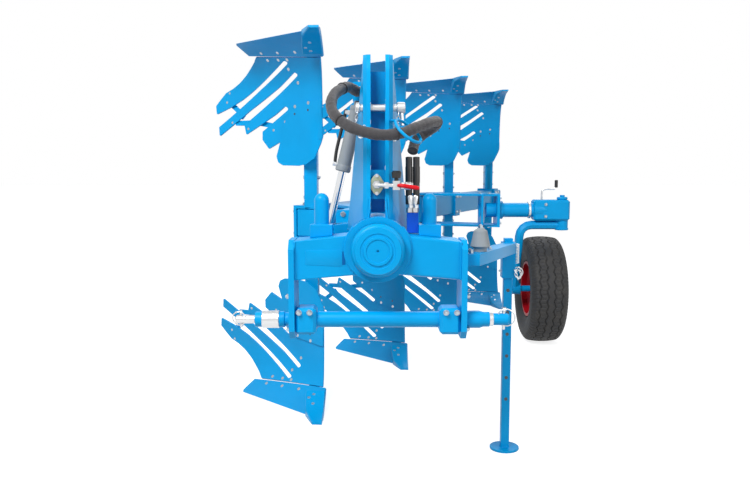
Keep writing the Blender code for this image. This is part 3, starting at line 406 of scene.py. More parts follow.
def ring_link(at, axis, radius, wire, steps=26):
    """A closed ring of wire round an axis."""
    u, v, _ = basis(axis)
    a = np.linspace(0, 2 * math.pi, steps, endpoint=False)[:, None]
    return tube(np.asarray(at, float) + radius * (np.cos(a) * u + np.sin(a) * v), wire, 8, closed=True)[:2]


def chain(path, wire=0.0016, pitch=0.013):
    """Oval links along a route, each turned a quarter from the last."""
    route = curve_through(path, 60)
    length = np.concatenate([[0], np.cumsum(np.linalg.norm(np.diff(route, axis=0), axis=1))])
    count = max(2, int(length[-1] / pitch))
    at = (np.arange(count) + 0.5) * length[-1] / count
    mids = np.stack([np.interp(at, length, route[:, k]) for k in range(3)], axis=1)
    ahead = np.stack([np.interp(at + 0.003, length, route[:, k]) for k in range(3)], axis=1) - mids
    a = np.linspace(0, 2 * math.pi, 12, endpoint=False)[:, None]
    parts = []
    for k, (mid, along) in enumerate(zip(mids, ahead)):
        if np.linalg.norm(along) < 1e-9:
            along = route[-1] - route[-2]
        u, v, w = basis(along)
        side = u if k % 2 else v
        parts.append(tube(mid + np.cos(a) * w * pitch * 0.72 + np.sin(a) * side * pitch * 0.36, wire, 6,
                          True)[:2])
    return merged(parts)


def spring(start, end, radius, wire, coils):
    """A wire on a helix from start to end."""
    start, end = np.asarray(start, float), np.asarray(end, float)
    u, v, _ = basis(end - start)
    t = np.linspace(0, 1, int(coils * 14))[:, None]
    a = 2 * math.pi * coils * t
    return tube(start + (end - start) * t + radius * (np.cos(a) * u + np.sin(a) * v), wire, 7)[:2]


def bead(path, size=0.006):
    """A weld bead: a thin tube along a seam whose width swells a little every 5 mm."""
    route = curve_through(path, max(8, int(np.linalg.norm(np.diff(np.asarray(path), axis=0),
                                                          axis=1).sum() / 0.0022)))
    swell = size * (0.82 + 0.18 * np.abs(np.sin(np.arange(len(route)) * 1.35)))
    return tube(route, swell, 8)[:2]


# ---------------------------------------------------------------- plough bodies
def face_depth(across, height):
    """Depth of the working face behind the share tip: a rake that rises as 1 - exp(-h / 85 mm), a sweep that grows
    with the distance across and turns less with height, and a hollow between the landside and the wing."""
    rake = 0.28 * (1 - np.exp(-height / 0.085))
    sweep = across * (1.0 - 0.56 * height)
    hollow = 0.25 * across * (0.66 - across) * np.clip(height / 0.2, 0, 1)
    return 0.048 + rake + sweep + hollow


def face_normal(across, height):
    """Unit normal out of the working face, towards the tractor, from the slopes of its depth."""
    e = 0.002
    d_across = (face_depth(across + e, height) - face_depth(across - e, height)) / (2 * e)
    d_height = (face_depth(across, height + e) - face_depth(across, height - e)) / (2 * e)
    n = np.stack([-d_across, -np.ones_like(d_across), d_height], axis=-1)
    return n / np.linalg.norm(n, axis=-1, keepdims=True)


def on_face(across, height, out=0.0):
    """Points of the face, in the body's own frame: across runs to -X, and out stands off along the normal."""
    across, height = np.asarray(across, float), np.asarray(height, float)
    base = np.stack([-across, face_depth(across, height), height], axis=-1)
    return base + np.asarray(out)[..., None] * face_normal(across, height) if np.ndim(out) else \
        base + out * face_normal(across, height)


def rounded(outline, radius, tight=None, steps=6):
    """An outline with each corner swapped for an arc, as wide as its sides allow. Where the outline turns out instead
    of in, the arc is the tight one when that is given."""
    outline = np.asarray(outline, float)
    after_all = np.roll(outline, -1, axis=0)
    turning = np.sign(np.sum(outline[:, 0] * after_all[:, 1] - after_all[:, 0] * outline[:, 1]))
    out = []
    for k in range(len(outline)):
        before, corner, after = outline[k - 1], outline[k], outline[(k + 1) % len(outline)]
        a, b = before - corner, after - corner
        la, lb = np.linalg.norm(a), np.linalg.norm(b)
        a, b = a / la, b / lb
        half = math.acos(float(np.clip(a @ b, -1, 1))) / 2
        if half > 1.45:
            out.append(corner)
            continue
        outward = (b[0] * a[1] - b[1] * a[0]) * turning > 0
        arc = tight if tight and outward else radius
        reach = min(arc / math.tan(half), 0.42 * la, 0.42 * lb)
        r = reach * math.tan(half)
        centre = corner + (a + b) / np.linalg.norm(a + b) * r / math.sin(half)
        first, last = corner + a * reach - centre, corner + b * reach - centre
        sweep = math.atan2(first[0] * last[1] - first[1] * last[0], first @ last)
        t = np.linspace(0, sweep, steps)
        out += [centre + np.array((first[0] * math.cos(x) - first[1] * math.sin(x),
                                   first[0] * math.sin(x) + first[1] * math.cos(x))) for x in t]
    return np.array(out)


def plate(outline, thickness, front, spacing, crease=None):
    """A curved plate cut from the working face: its outline and the grid inside are triangulated flat, as (across,
    height), then both sides are raised on the face, front and front - thickness off it, and joined round the edge."""
    outline = np.asarray(outline, float)
    n = len(outline)
    dense = []
    for k in range(n):
        a, b = outline[k], outline[(k + 1) % n]
        count = max(1, int(np.linalg.norm(b - a) / spacing))
        dense += [a + (b - a) * j / count for j in range(count)]
    dense = np.array(dense)
    low, high = dense.min(axis=0), dense.max(axis=0)
    gx, gy = np.meshgrid(np.arange(low[0], high[0], spacing), np.arange(low[1], high[1], spacing),
                         indexing="ij")
    inner = np.stack([gx.ravel() + 0.37 * spacing, gy.ravel() + 0.41 * spacing], axis=1)
    edge_gap = np.min(np.linalg.norm(inner[:, None] - dense[None], axis=2), axis=1)
    inner = inner[edge_gap > 0.55 * spacing]
    flat = np.vstack([dense, inner])
    loop = list(range(len(dense)))
    verts, _, faces, *_ = delaunay_2d_cdt([Vector(p) for p in flat], [], [loop], 1, 1e-6)
    flat = np.array([v[:] for v in verts])
    faces = [list(f) for f in faces]
    lift = np.full(len(flat), float(front))
    if crease is not None:
        lift = lift + crease(flat[:, 0], flat[:, 1])
    top = on_face(flat[:, 0], flat[:, 1], lift)
    under = on_face(flat[:, 0], flat[:, 1], lift - thickness)
    top[:, 2], under[:, 2] = np.maximum(top[:, 2], 0.0004), np.maximum(under[:, 2], 0.0004)
    count = len(flat)
    sides = {}
    for f in faces:
        for a, b in zip(f, f[1:] + f[:1]):
            sides[(a, b)] = sides.get((a, b), 0) + 1
    rim = [(a, b) for a, b in sides if (b, a) not in sides]
    both = faces + [[i + count for i in reversed(f)] for f in faces]
    both += [[b, a, a + count, b + count] for a, b in rim]
    return np.vstack([top, under]), both


SLATS = (
    ((0.352, 0.02), (0.369, 0.082), (0.396, 0.107), (0.426, 0.135), (0.469, 0.168), (0.511, 0.192),
     (0.556, 0.211),
     (0.587, 0.241), (0.619, 0.277), (0.613, 0.322), (0.552, 0.299), (0.529, 0.290), (0.456, 0.255),
     (0.406, 0.225),
     (0.340, 0.183), (0.286, 0.147), (0.233, 0.113), (0.200, 0.092)),
    ((0.178, 0.103), (0.340, 0.208), (0.596, 0.392), (0.590, 0.440), (0.410, 0.314), (0.236, 0.208),
     (0.150, 0.147)),
    ((0.130, 0.161), (0.236, 0.240), (0.442, 0.386), (0.430, 0.436), (0.262, 0.342), (0.206, 0.302)),
    ((0.186, 0.318), (0.262, 0.372), (0.335, 0.424), (0.335, 0.466), (0.298, 0.512), (0.226, 0.474)),
)
TRASH = ((0.009, 0.280), (0.180, 0.300), (0.228, 0.476), (0.250, 0.552), (0.240, 0.582), (0.215, 0.596),
         (0.130, 0.598), (0.090, 0.590), (0.050, 0.562), (0.022, 0.490), (0.014, 0.460), (0.012, 0.400))
SEAM = 0.0030
# Bolts as (across, height), those of the point as (across, depth): on the point, along the share, at
# the slats' roots and on the trash board.
POINT_BOLTS = ((0.052, 0.150), (0.074, 0.186), (0.052, 0.205))
SHARE_BOLTS = ((0.137, 0.066), (0.229, 0.058), (0.318, 0.050))
BOARD_BOLTS = ((0.183, 0.090), (0.231, 0.086), (0.289, 0.081), (0.181, 0.131), (0.134, 0.197))
TRASH_BOLTS = ((0.076, 0.296), (0.147, 0.309))
TRASH_HOLES = ((0.078, 0.330), (0.149, 0.345))
SLAT_BOLTS = ((0.534, 0.214), (0.550, 0.262), (0.514, 0.371), (0.418, 0.407), (0.272, 0.419), (0.208, 0.380))
SPACERS = (((0.550, 0.255), (0.452, 0.345)), ((0.500, 0.372), (0.372, 0.372)),
           ((0.385, 0.372), (0.262, 0.400)))
# Rounding of the board's outline: the slots end in wide arcs, the slats' tips are nearly square.
SLOT_END, TIGHT = 0.012, 0.0035


def share_top(across):
    near, far = SHARE_TOP
    return near + (far - near) * across / SHARE_LENGTH


def board_outline():
    """The board's edge, from the shin round the slats to the top, with slots rounded wider than the slats'
    tips."""
    slats = np.array([p for slat in SLATS for p in slat])
    seam = [(across, float(share_top(across)) + SEAM) for across in (0.013, 0.352)]
    line = [seam[0], (0.352 + 0.001, seam[1][1] + 0.002), *[tuple(p) for p in slats[1:]], (0.180, 0.470),
            (0.013, 0.470)]
    return rounded([p for p in line], SLOT_END, TIGHT)


def share_outline():
    corner = SHARE_LENGTH - 0.055
    return np.array([(0.001, 0.002), (SHARE_LENGTH - 0.004, 0.002), (SHARE_LENGTH - 0.002, 0.008),
                     (corner, float(share_top(corner))), (0.001, float(share_top(0)))])


POINT_SECTIONS = np.array([  # depth, width, underside, top
    (0.000, 0.045, 0.0010, 0.0110),
    (0.040, 0.060, 0.0010, 0.0185),
    (0.111, 0.085, 0.0010, 0.0310),
    (0.150, 0.089, 0.0100, 0.0505),
    (0.188, 0.092, 0.0310, 0.0690),
    (0.221, 0.092, 0.0660, 0.0905),
])


def point_bar():
    """The forged point: four-sided sections from the tip up the shin, each a little proud of the share."""
    y, width, low, high = POINT_SECTIONS.T
    rows = np.stack([
        np.stack([0 * y, y, low], axis=1), np.stack([-width, y + 0.08 * width, low], axis=1),
        np.stack([-width, y + 0.08 * width, high - 0.003], axis=1),
        np.stack([-width + 0.004, y + 0.08 * width - 0.002, high], axis=1),
        np.stack([-0.003 + 0 * y, y, high], axis=1), np.stack([0 * y, y, high - 0.003], axis=1)], axis=1)
    points = rows.reshape(-1, 3)
    n = len(POINT_SECTIONS)
    return points, grid_faces(n, 6, wrap_columns=True) + [list(range(6)), list(range((n - 1) * 6, n * 6))]


def trash_crease(across, height):
    """The trash board's fold: its landside strip, 58 mm wide, turns back by 0.30 of the distance past the
    fold."""
    fold = np.log1p(np.exp((0.058 - across) / 0.006)) * 0.006
    return -0.30 * fold * np.clip((height - 0.34) / 0.10, 0, 1)


def face_bolts(places, size, out, deep=False):
    """Countersunk heads set in the face: a shallow dish round a flat head with a square neck's mark."""
    parts = []
    for across, height in places:
        n = face_normal(np.array(across), np.array(height))
        at = on_face(np.array(across), np.array(height), out)
        if deep:
            # deep: a dark disc sunk in the face, the painted shade of an empty hole
            profile = [(0.0002, size * 0.50), (0.0006, size * 0.50), (0.0006, size * 0.30),
                       (-0.004, size * 0.28)]
        else:
            profile = [(0.0002, size * 0.54), (0.0011, size * 0.50), (0.0013, size * 0.40),
                       (0.0010, size * 0.10)]
        parts.append(turned(profile, at, n, 18))
    return merged(parts)


def spacer_bars():
    """Bent straps behind the slats that hold them apart: 26 mm wide, 6 mm thick, bowed back 10 mm between
    bolts."""
    parts = []
    for (a0, h0), (a1, h1) in SPACERS:
        t = np.linspace(0, 1, 12)
        across, height = a0 + (a1 - a0) * t, h0 + (h1 - h0) * t
        run = np.array([a1 - a0, h1 - h0]) / math.hypot(a1 - a0, h1 - h0)
        back = -0.0058 - 0.010 * np.sin(math.pi * t)
        rows = []
        for side, out in ((-0.013, 0.0), (0.013, 0.0), (0.013, -0.006), (-0.013, -0.006)):
            rows.append(on_face(across - run[1] * side, height + run[0] * side, back + out))
        points = np.stack(rows, axis=1).reshape(-1, 3)
        parts.append((points, grid_faces(12, 4, wrap_columns=True) + [[0, 1, 2, 3], [44, 45, 46, 47]]))
    return merged(parts)


def level_points(points, number, upper):
    """Moves a body's own points to its place on the beam, mirrored over the turnover axis for an upper
    body."""
    points = np.array(points, float)
    points[:, 0] += FIRST_TIP[0] + FURROW_WIDTH * number
    points[:, 1] += FIRST_TIP[1] + BODY_PITCH * number
    points[:, 2] += GROUND
    if upper:
        points[:, 2] = 2 * AXIS_Z - points[:, 2]
    return points


class PLOUGH_OT_bodies(bpy.types.Operator):
    """Builds shares, slatted mouldboards, trash boards, spacer bars and plough bolts of all eight bodies"""
    bl_idname = "plough.bodies"
    bl_label = "Plough bodies"

    def execute(self, context):
        sizes = context.scene.plough_sizes
        board = plate(board_outline(), sizes.board - 0.0008, FACE_LIFT * 0.4, sizes.grid)
        wing = plate(share_outline(), sizes.share - 0.001, FACE_LIFT * 0.4, sizes.grid)
        trash = plate(rounded(TRASH, 0.010), sizes.trash - 0.0004, sizes.trash + 0.0019, sizes.grid,
                      trash_crease)
        face = FACE_LIFT * 0.4
        bolts = merged([face_bolts(SHARE_BOLTS, sizes.bolt, face), face_bolts(BOARD_BOLTS, sizes.bolt, face),
                        face_bolts(TRASH_BOLTS, sizes.bolt, sizes.trash + 0.0019),
                        face_bolts(SLAT_BOLTS, sizes.bolt * 0.8, face)])
        # painted shade: the trash board's empty holes are closed dark discs standing in for the shade inside them
        holes = face_bolts(TRASH_HOLES, sizes.bolt * 0.7, sizes.trash + 0.0019, deep=True)
        nose = []
        for across, depth in POINT_BOLTS:
            height = np.interp(depth, POINT_SECTIONS[:, 0], POINT_SECTIONS[:, 3])
            nose.append(turned([(0.0002, sizes.bolt * 0.5), (0.0012, sizes.bolt * 0.46),
                                (0.0010, sizes.bolt * 0.1)],
                               (-across, depth + 0.08 * across, height), (0, -0.44, 0.90), 18))
        for number in range(FURROWS):
            for upper in (False, True):
                tag = f"{'upper' if upper else 'lower'}_{number + 1}"
                pieces = (
                    (f"slatted_board_{tag}", board, "wearing", 40, f"mouldboard_{tag}"),
                    (f"trash_plate_{tag}", trash, "wearing", 40, f"trash_board_{tag}"),
                    (f"share_wing_{tag}", wing, "wearing", 40, f"share_{tag}"),
                    (f"share_point_{tag}", point_bar(), "wearing", 30, None),
                    (f"plough_bolts_{tag}", merged([bolts, *nose]), "bolt", 30, None),
                    (f"painted_hole_shade_{tag}", holes, "dark_steel", 30, None),
                    (f"slat_spacers_{tag}", spacer_bars(), "wearing", 40, None),
                )
                for name, (points, faces), material, smooth, node_name in pieces:
                    made = shown(name, level_points(points, number, upper), faces, material, "turnover_frame",
                                 smooth)
                    if node_name:
                        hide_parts(node_name)
        return {"FINISHED"}


# ---------------------------------------------------------------- solids that stay
def soften_node(name, width, material, limit=32.0):
    """Gives a solid real edges: welds its loose triangles, merges its flat faces and rounds its sharp
    edges."""
    obj = frame["nodes"][name]
    obj.data.materials.clear()
    obj.data.materials.append(MADE[material])
    obj.data.shade_smooth()
    weld = obj.modifiers.new("weld", "WELD")
    weld.merge_threshold = 0.00005
    flat = obj.modifiers.new("flat", "DECIMATE")
    flat.decimate_type = "DISSOLVE"
    flat.angle_limit = math.radians(0.6)
    if width:
        edge = obj.modifiers.new("edge", "BEVEL")
        edge.width = width
        edge.segments = 2
        edge.limit_method = "ANGLE"
        edge.angle_limit = math.radians(limit)
        edge.use_clamp_overlap = True
    even = obj.modifiers.new("even", "WEIGHTED_NORMAL")
    even.keep_sharp = True


KEPT = (  # node, rounding in metres, finish
    ("headstock", 0.003, "enamel"), ("turnover_shaft", 0.002, "enamel"),
    ("turnover_console", 0.002, "enamel"),
    ("main_beam", 0.0, "enamel"), ("wheel_bracket", 0.0015, "enamel"), ("mast_plate_left", 0.0015, "enamel"),
    ("mast_plate_right", 0.0015, "enamel"), ("mast_web", 0.0015, "enamel"),
    ("turn_stop_left", 0.002, "enamel"),
    ("turn_stop_right", 0.002, "enamel"), ("stand_bracket", 0.002, "enamel"), ("stand_leg", 0.002, "enamel"),
    ("wheel_head", 0.002, "enamel"), ("wheel_arm", 0.001, "enamel"), ("valve_block", 0.002, "deep_blue"),
    ("leg_pair_1", 0.002, "enamel"), ("leg_pair_2", 0.002, "enamel"), ("leg_pair_3", 0.002, "enamel"),
    ("leg_pair_4", 0.002, "enamel"), ("spindle_cone", 0.001, "grey"), ("hub_cap", 0.0, "enamel"),
    ("cross_shaft", 0.0015, "enamel"), ("top_link_pin", 0.001, "zinc"), ("ball_valve", 0.001, "zinc"),
    ("hose_ring", 0.0, "enamel"), ("cylinder_barrel", 0.001, "grey"), ("cylinder_rod", 0.0008, "chrome"),
    ("hose_bundle", 0.0, "sleeve"), ("drop_hose_left", 0.0, "hose"), ("drop_hose_right", 0.0, "hose"),
    ("wheel_rim", 0.0, "red"), ("wheel_tyre", 0.0, "tyre"),
)


class PLOUGH_OT_solids(bpy.types.Operator):
    """Finishes the solids that are shown as they are"""
    bl_idname = "plough.solids"
    bl_label = "Solids"

    def execute(self, context):
        for name, width, material in KEPT:
            soften_node(name, width, material)
        return {"FINISHED"}


# ---------------------------------------------------------------- headstock and hitch
class PLOUGH_OT_headstock(bpy.types.Operator):
    """Builds the cap's rings, the hitch shaft's collars and pins, clamp bolts, weld beads and the blank
    plate"""
    bl_idname = "plough.headstock"
    bl_label = "Headstock"

    def execute(self, context):
        cap = [(-0.100, 0.0800), (-0.104, 0.0780), (-0.104, 0.0600), (-0.1015, 0.0585), (-0.1015, 0.0500),
               (-0.106, 0.0480), (-0.106, 0.0400), (-0.103, 0.0385), (-0.103, 0.0060), (-0.095, 0.0050)]
        cover = turned(cap, (0, 0, AXIS_Z), (0, 1, 0), 72)
        shown("hub_cap_rings", *cover, "enamel", "headstock", 25)
        dot = turned([(0, 0.0024), (0.0006, 0.0024)], (0, -0.0994, AXIS_Z), (0, -1, 0), 14)
        shown("hub_cap_mark", *dot, "dark_steel", "headstock", 30)
        clamp_bolts = []
        for x in (-0.272, -0.235, 0.235, 0.272):
            clamp_bolts.append(bolt((x, -0.046, HITCH_Z + 0.032), (0, -1, 0), 0.0105, 0.2, nut=True))
        for side in (-1, 1):
            for y, z in ((-0.025, 0.585), (0.070, 0.585), (-0.025, 0.700), (0.070, 0.700)):
                clamp_bolts.append(bolt((side * (PLATE_X + PLATE_T), y, z), (side, 0, 0), 0.010, 0.5,
                                        nut=True))
        shown("hitch_clamp_bolts", *merged(clamp_bolts), "bolt", "headstock", 30)
        left = turned([(-0.497, 0.010), (-0.492, 0.0145), (-0.430, 0.0145), (-0.430, 0.0145)],
                      (0, 0, HITCH_Z),
                      (1, 0, 0), 36)
        collar = turned([(-0.4035, 0.0290), (-0.402, 0.0305), (-0.345, 0.0305), (-0.3435, 0.0290)],
                        (0, 0, HITCH_Z), (1, 0, 0), 40)
        right = turned([(0.3895, 0.0208), (0.390, 0.0210), (0.452, 0.0210), (0.4585, 0.0165),
                        (0.4585, 0.012)],
                       (0, 0, HITCH_Z), (1, 0, 0), 36)
        shown("lower_hitch_pins", *merged([left, collar]), "zinc", "headstock", 30,
              slot="zinc_plated_steel")
        ring = turned([(0.3885, 0.0225), (0.3895, 0.0235), (0.4015, 0.0235), (0.4025, 0.0225)],
                      (0, 0, HITCH_Z),
                      (1, 0, 0), 36)
        shown("right_pin_ring", *ring, "zinc", "headstock", 30)
        shown("right_hitch_pin", *right, "enamel", "headstock", 30)
        linch = [turned(chamfered(0.078, 0.0052, 0.001), (0.440, 0, HITCH_Z - 0.036), (0, 0, 1), 14),
                 turned(chamfered(0.014, 0.0085, 0.001), (0.440, 0, HITCH_Z + 0.028), (0, 0, 1), 14),
                 ring_link((0.4475, -0.010, HITCH_Z + 0.008), (0.2, 1, 0.1), 0.030, 0.0024),
                 turned(chamfered(0.060, 0.0045, 0.001), (-0.478, 0, HITCH_Z - 0.028), (0, 0, 1), 14),
                 ring_link((-0.484, -0.006, HITCH_Z + 0.004), (0.2, 1, 0.1), 0.024, 0.0022)]
        shown("linch_pins", *merged(linch), "zinc", "headstock", 35)
        welds = [bead([(side * 0.045, -0.0405, 0.914), (side * 0.095, -0.0408, 0.912)],
                      0.004) for side in (-1, 1)]
        for side in (-1, 1):
            a = np.linspace(-0.75, 0.75, 16) if side > 0 else np.linspace(math.pi - 0.75, math.pi + 0.75, 16)
            ring = np.stack([0.1135 * np.cos(a), np.full_like(a, -0.0415), AXIS_Z + 0.1135 * np.sin(a)],
                            axis=1)
            welds.append(bead(ring, 0.0042))
            edge = [(side * PLATE_X - side * 0.002, -0.0405, z) for z in (0.760, 0.800, 0.850, 0.890)]
            welds.append(bead(edge, 0.0042))
        shown("headstock_welds", *merged(welds), "enamel", "headstock", 60)
        # painted shade: a flat dark blue strip on the blank plate stands in for the shade inside its slot
        slot_shade = slab([(-0.1215, 0.812), (-0.1115, 0.812), (-0.1115, 0.858), (-0.1215, 0.858)], -0.0410,
                        -0.0398, "XZ", 0)
        shown("blank_plate_slot_painted_shade", *slot_shade, "shade", "headstock", 30)
        blank = slab(rounded([(-0.248, 0.812), (-0.122, 0.806), (-0.122, 0.864), (-0.248, 0.862)], 0.006),
                     -0.0410, -0.0396, "XZ", 0.0005)
        shown("blank_plate", *blank, "enamel", "headstock", 30)
        return {"FINISHED"}


class PLOUGH_OT_mast(bpy.types.Operator):
    """Builds the top-link pin's ring and chains, the tap with its red lever, beads and bolts on the mast"""
    bl_idname = "plough.mast"
    bl_label = "Mast"

    def execute(self, context):
        knob = turned([(-0.078, 0.012), (-0.075, 0.017), (-0.064, 0.0185), (-0.060, 0.016)],
                      (0, LINK_Y, LINK_Z),
                      (1, 0, 0), 32)
        head = turned([(0.064, 0.017), (0.068, 0.0195), (0.088, 0.0195), (0.093, 0.016)], (0, LINK_Y, LINK_Z),
                      (1, 0, 0), 32)
        shaft = turned([(-0.026, 0.0129), (0.026, 0.0129)], (0, LINK_Y, LINK_Z), (1, 0, 0), 32)
        shown("top_link_pin_heads", *merged([knob, head, shaft]), "zinc", "headstock", 30)
        chains = [chain([(-0.070, 0.006, LINK_Z - 0.014), (-0.074, 0.000, LINK_Z - 0.060),
                         (-0.058, -0.012, LINK_Z - 0.100), (-0.046, -0.014, LINK_Z - 0.062)]),
                  chain([(0.070, 0.002, LINK_Z - 0.016), (0.066, -0.008, LINK_Z - 0.070),
                         (0.056, -0.016, LINK_Z - 0.110), (0.048, -0.014, LINK_Z - 0.080)])]
        shown("pin_chains", *merged(chains), "zinc", "headstock", 60)
        y, z = -0.015, 1.085
        flange = slab(rounded([(-0.004, 1.131), (0.026, 1.085), (-0.004, 1.039), (-0.034, 1.085)], 0.014),
                      y - 0.006, y + 0.001, "XZ", 0.0015)
        flange_bolts = [bolt((-0.004, y - 0.006, z + dz), (0, -1, 0), 0.0065) for dz in (-0.030, 0.030)]
        union = merged([hexagon((-0.004, y - 0.004, z), (0, -1, 0), 0.026, 0.014),
                        hexagon((0.022, -0.044, z - 0.002), (1, 0, 0), 0.020, 0.014),
                        hexagon((0.078, -0.044, z - 0.003), (1, 0, 0), 0.020, 0.012),
                        turned([(0, 0.010), (0.004, 0.013), (0.022, 0.013), (0.026, 0.010)],
                               (0.088, -0.044, z - 0.004),
                               (1, 0, 0), 24)])
        shown("tap_flange", *flange, "olive", "headstock", 30)
        shown("tap_fittings", *merged([*flange_bolts, union]), "zinc", "headstock", 30)
        stem = turned([(0.0, 0.007), (0.010, 0.007), (0.012, 0.015), (0.030, 0.017), (0.036, 0.012)],
                      (0.062, -0.045, 1.096), (0, 0, 1), 24)
        shown("tap_knob", *stem, "plastic", "headstock", 35)
        grip = tube(curve_through([(0.066, -0.063, 1.083), (0.085, -0.070, 1.082), (0.110, -0.070, 1.078),
                                   (0.138, -0.069, 1.074)], 20),
                    np.interp(np.linspace(0, 1, 20), (0, 0.1, 0.9, 1), (0.0045, 0.0070, 0.0075, 0.0050)),
                    14)[:2]
        shown("tap_lever", *grip, "lever", "headstock", 40)
        seams = []
        for side in (-1, 1):
            low = [(side * 0.040, -0.0385, 0.930), (side * 0.030, -0.0375, 0.990),
                   (side * 0.0265, -0.030, 1.040)]
            foot = [(side * 0.042, -0.040, 0.917), (side * 0.075, 0.060, 0.9175),
                    (side * 0.108, 0.150, 0.918)]
            seams += [bead(low, 0.0032), bead(foot, 0.0040)]
            seams.append(bead([(side * 0.0255, -0.003, 1.036), (side * 0.0255, -0.003, 1.134)], 0.0032))
        shown("mast_welds", *merged(seams), "enamel", "headstock", 60)
        guard = []
        for side in (-1, 1):
            guard.append(turned(chamfered(0.006, 0.021, 0.001), (side * 0.0405, LINK_Y, LINK_Z), (side, 0, 0),
                                28))
        shown("pin_bosses", *merged(guard), "enamel", "headstock", 30)
        return {"FINISHED"}


BUNDLE = ((-0.072, 0.190, 1.415), (-0.110, 0.120, 1.425), (-0.152, 0.020, 1.385), (-0.150, -0.050, 1.325),
          (-0.090, -0.090, 1.275), (0.000, -0.105, 1.250), (0.075, -0.085, 1.255), (0.140, -0.040, 1.280),
          (0.195, 0.030, 1.300), (0.205, 0.090, 1.290), (0.170, 0.130, 1.265), (0.135, 0.110, 1.235),
          (0.122, 0.075, 1.200))
DROP_X = (0.109, 0.135)


class PLOUGH_OT_hoses(bpy.types.Operator):
    """Builds the sleeved bundle, the drop hoses with their cuffs and fittings, and the pipes of the
    cylinder"""
    bl_idname = "plough.hoses"
    bl_label = "Hoses"

    def execute(self, context):
        route = curve_through(BUNDLE, 150)
        along = np.arange(len(route))
        points, faces, uvs = tube(route,
                                  0.0185 + 0.0007 * np.sin(along * 0.55) + 0.0006 * np.sin(along * 1.9), 22)
        bundle = shown("sleeved_hoses", points, faces, "sleeve", "headstock", 60, uvs, "black_hose")
        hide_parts("hose_bundle")
        ties = []
        for k in (18, 52, 84, 118):
            ties.append(ring_link(route[k], route[k + 1] - route[k - 1], 0.0192, 0.0022, 30))
        shown("hose_ties", *merged(ties), "plastic", "headstock", 40)
        for x, name in zip(DROP_X, ("left", "right")):
            path = curve_through([(x, 0.072, 1.178), (x, 0.062, 1.120), (x, 0.055, 1.060),
                                  (x, 0.052, 1.0135)], 40)
            drop = shown(f"drop_hose_{name}_rubber", *tube(path, 0.0118, 18)[:2], "hose", "headstock", 60,
                         slot="black_hose")
            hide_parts(f"drop_hose_{name}")
            cuff = tube(path[8:22], 0.0128, 18)[:2]
            shown(f"hose_cuff_{name}", *cuff, "plastic", "headstock", 40)
        fittings = []
        for x in (0.112, 0.132):
            fittings += [turned([(0, 0.0108), (0.004, 0.0122), (0.030, 0.0122), (0.034, 0.0100)],
                                (x, 0.052, 1.012),
                                (0, 0, 1), 24),
                         hexagon((x, 0.052, 0.986), (0, 0, 1), 0.0225, 0.016),
                         hexagon((x, 0.052, 1.002), (0, 0, 1), 0.0200, 0.011, 0.4)]
        shown("drop_hose_fittings", *merged(fittings), "zinc", "headstock", 30)
        top, pin = Vector(CYL_TOP), Vector(CYL_PIN)
        way = (pin - top).normalized()
        side = Vector((-0.97, 0, 0.24))
        pipe_path = [top + way * 0.075 + side * 0.040, top + way * 0.150 + side * 0.040,
                     top + way * 0.230 + side * 0.040, top + way * 0.285 + side * 0.034]
        ports = [turned(chamfered(0.020, 0.009, 0.001), top + way * d + side * 0.022, side,
                        18) for d in (0.085, 0.280)]
        shown("cylinder_ports", *merged(ports), "zinc", "cylinder_barrel", 30)
        shown("cylinder_pipe", *tube(curve_through([tuple(p) for p in pipe_path], 30), 0.0062, 12)[:2],
              "hose",
              "cylinder_barrel", 60)
        gland = [turned([(0, 0.0268), (0.003, 0.0285), (0.022, 0.0285), (0.026, 0.024)], top + way * 0.276,
                        way, 36),
                 turned([(0, 0.0265), (0.003, 0.0275), (0.014, 0.0275), (0.016, 0.0265)], top + way * 0.056,
                        way, 36)]
        shown("cylinder_gland", *merged(gland), "grey", "cylinder_barrel", 30)
        x, y, z = CYL_PIN
        heads = [turned(chamfered(0.012, 0.021, 0.002), (x, y + s * 0.0365, z), (0, s, 0), 28) for s in (-1,
                                                                                                         1)]
        shown("crank_pin_heads", *merged(heads), "zinc", "turnover_frame", 30)
        x, y, z = CYL_TOP
        heads = [turned(chamfered(0.008, 0.018, 0.002), (x, y + s * 0.0315, z), (0, s, 0), 28) for s in (-1,
                                                                                                         1)]
        shown("lug_pin_heads", *merged(heads), "zinc", "headstock", 30)
        return {"FINISHED"}


# ---------------------------------------------------------------- frame
def leg_centre(number):
    return (FIRST_TIP[0] + FURROW_WIDTH * number - sum(LEG_X) / 2,
            FIRST_TIP[1] + BODY_PITCH * number + sum(LEG_Y) / 2)


def beam_place(number, along, across, up):
    """A point beside a body's leg, in the beam's own directions: along it, across it and up."""
    x, y = leg_centre(number)
    c, s = math.cos(BEAM_YAW), math.sin(BEAM_YAW)
    return (x - s * along + c * across, y + c * along + s * across, AXIS_Z + up)


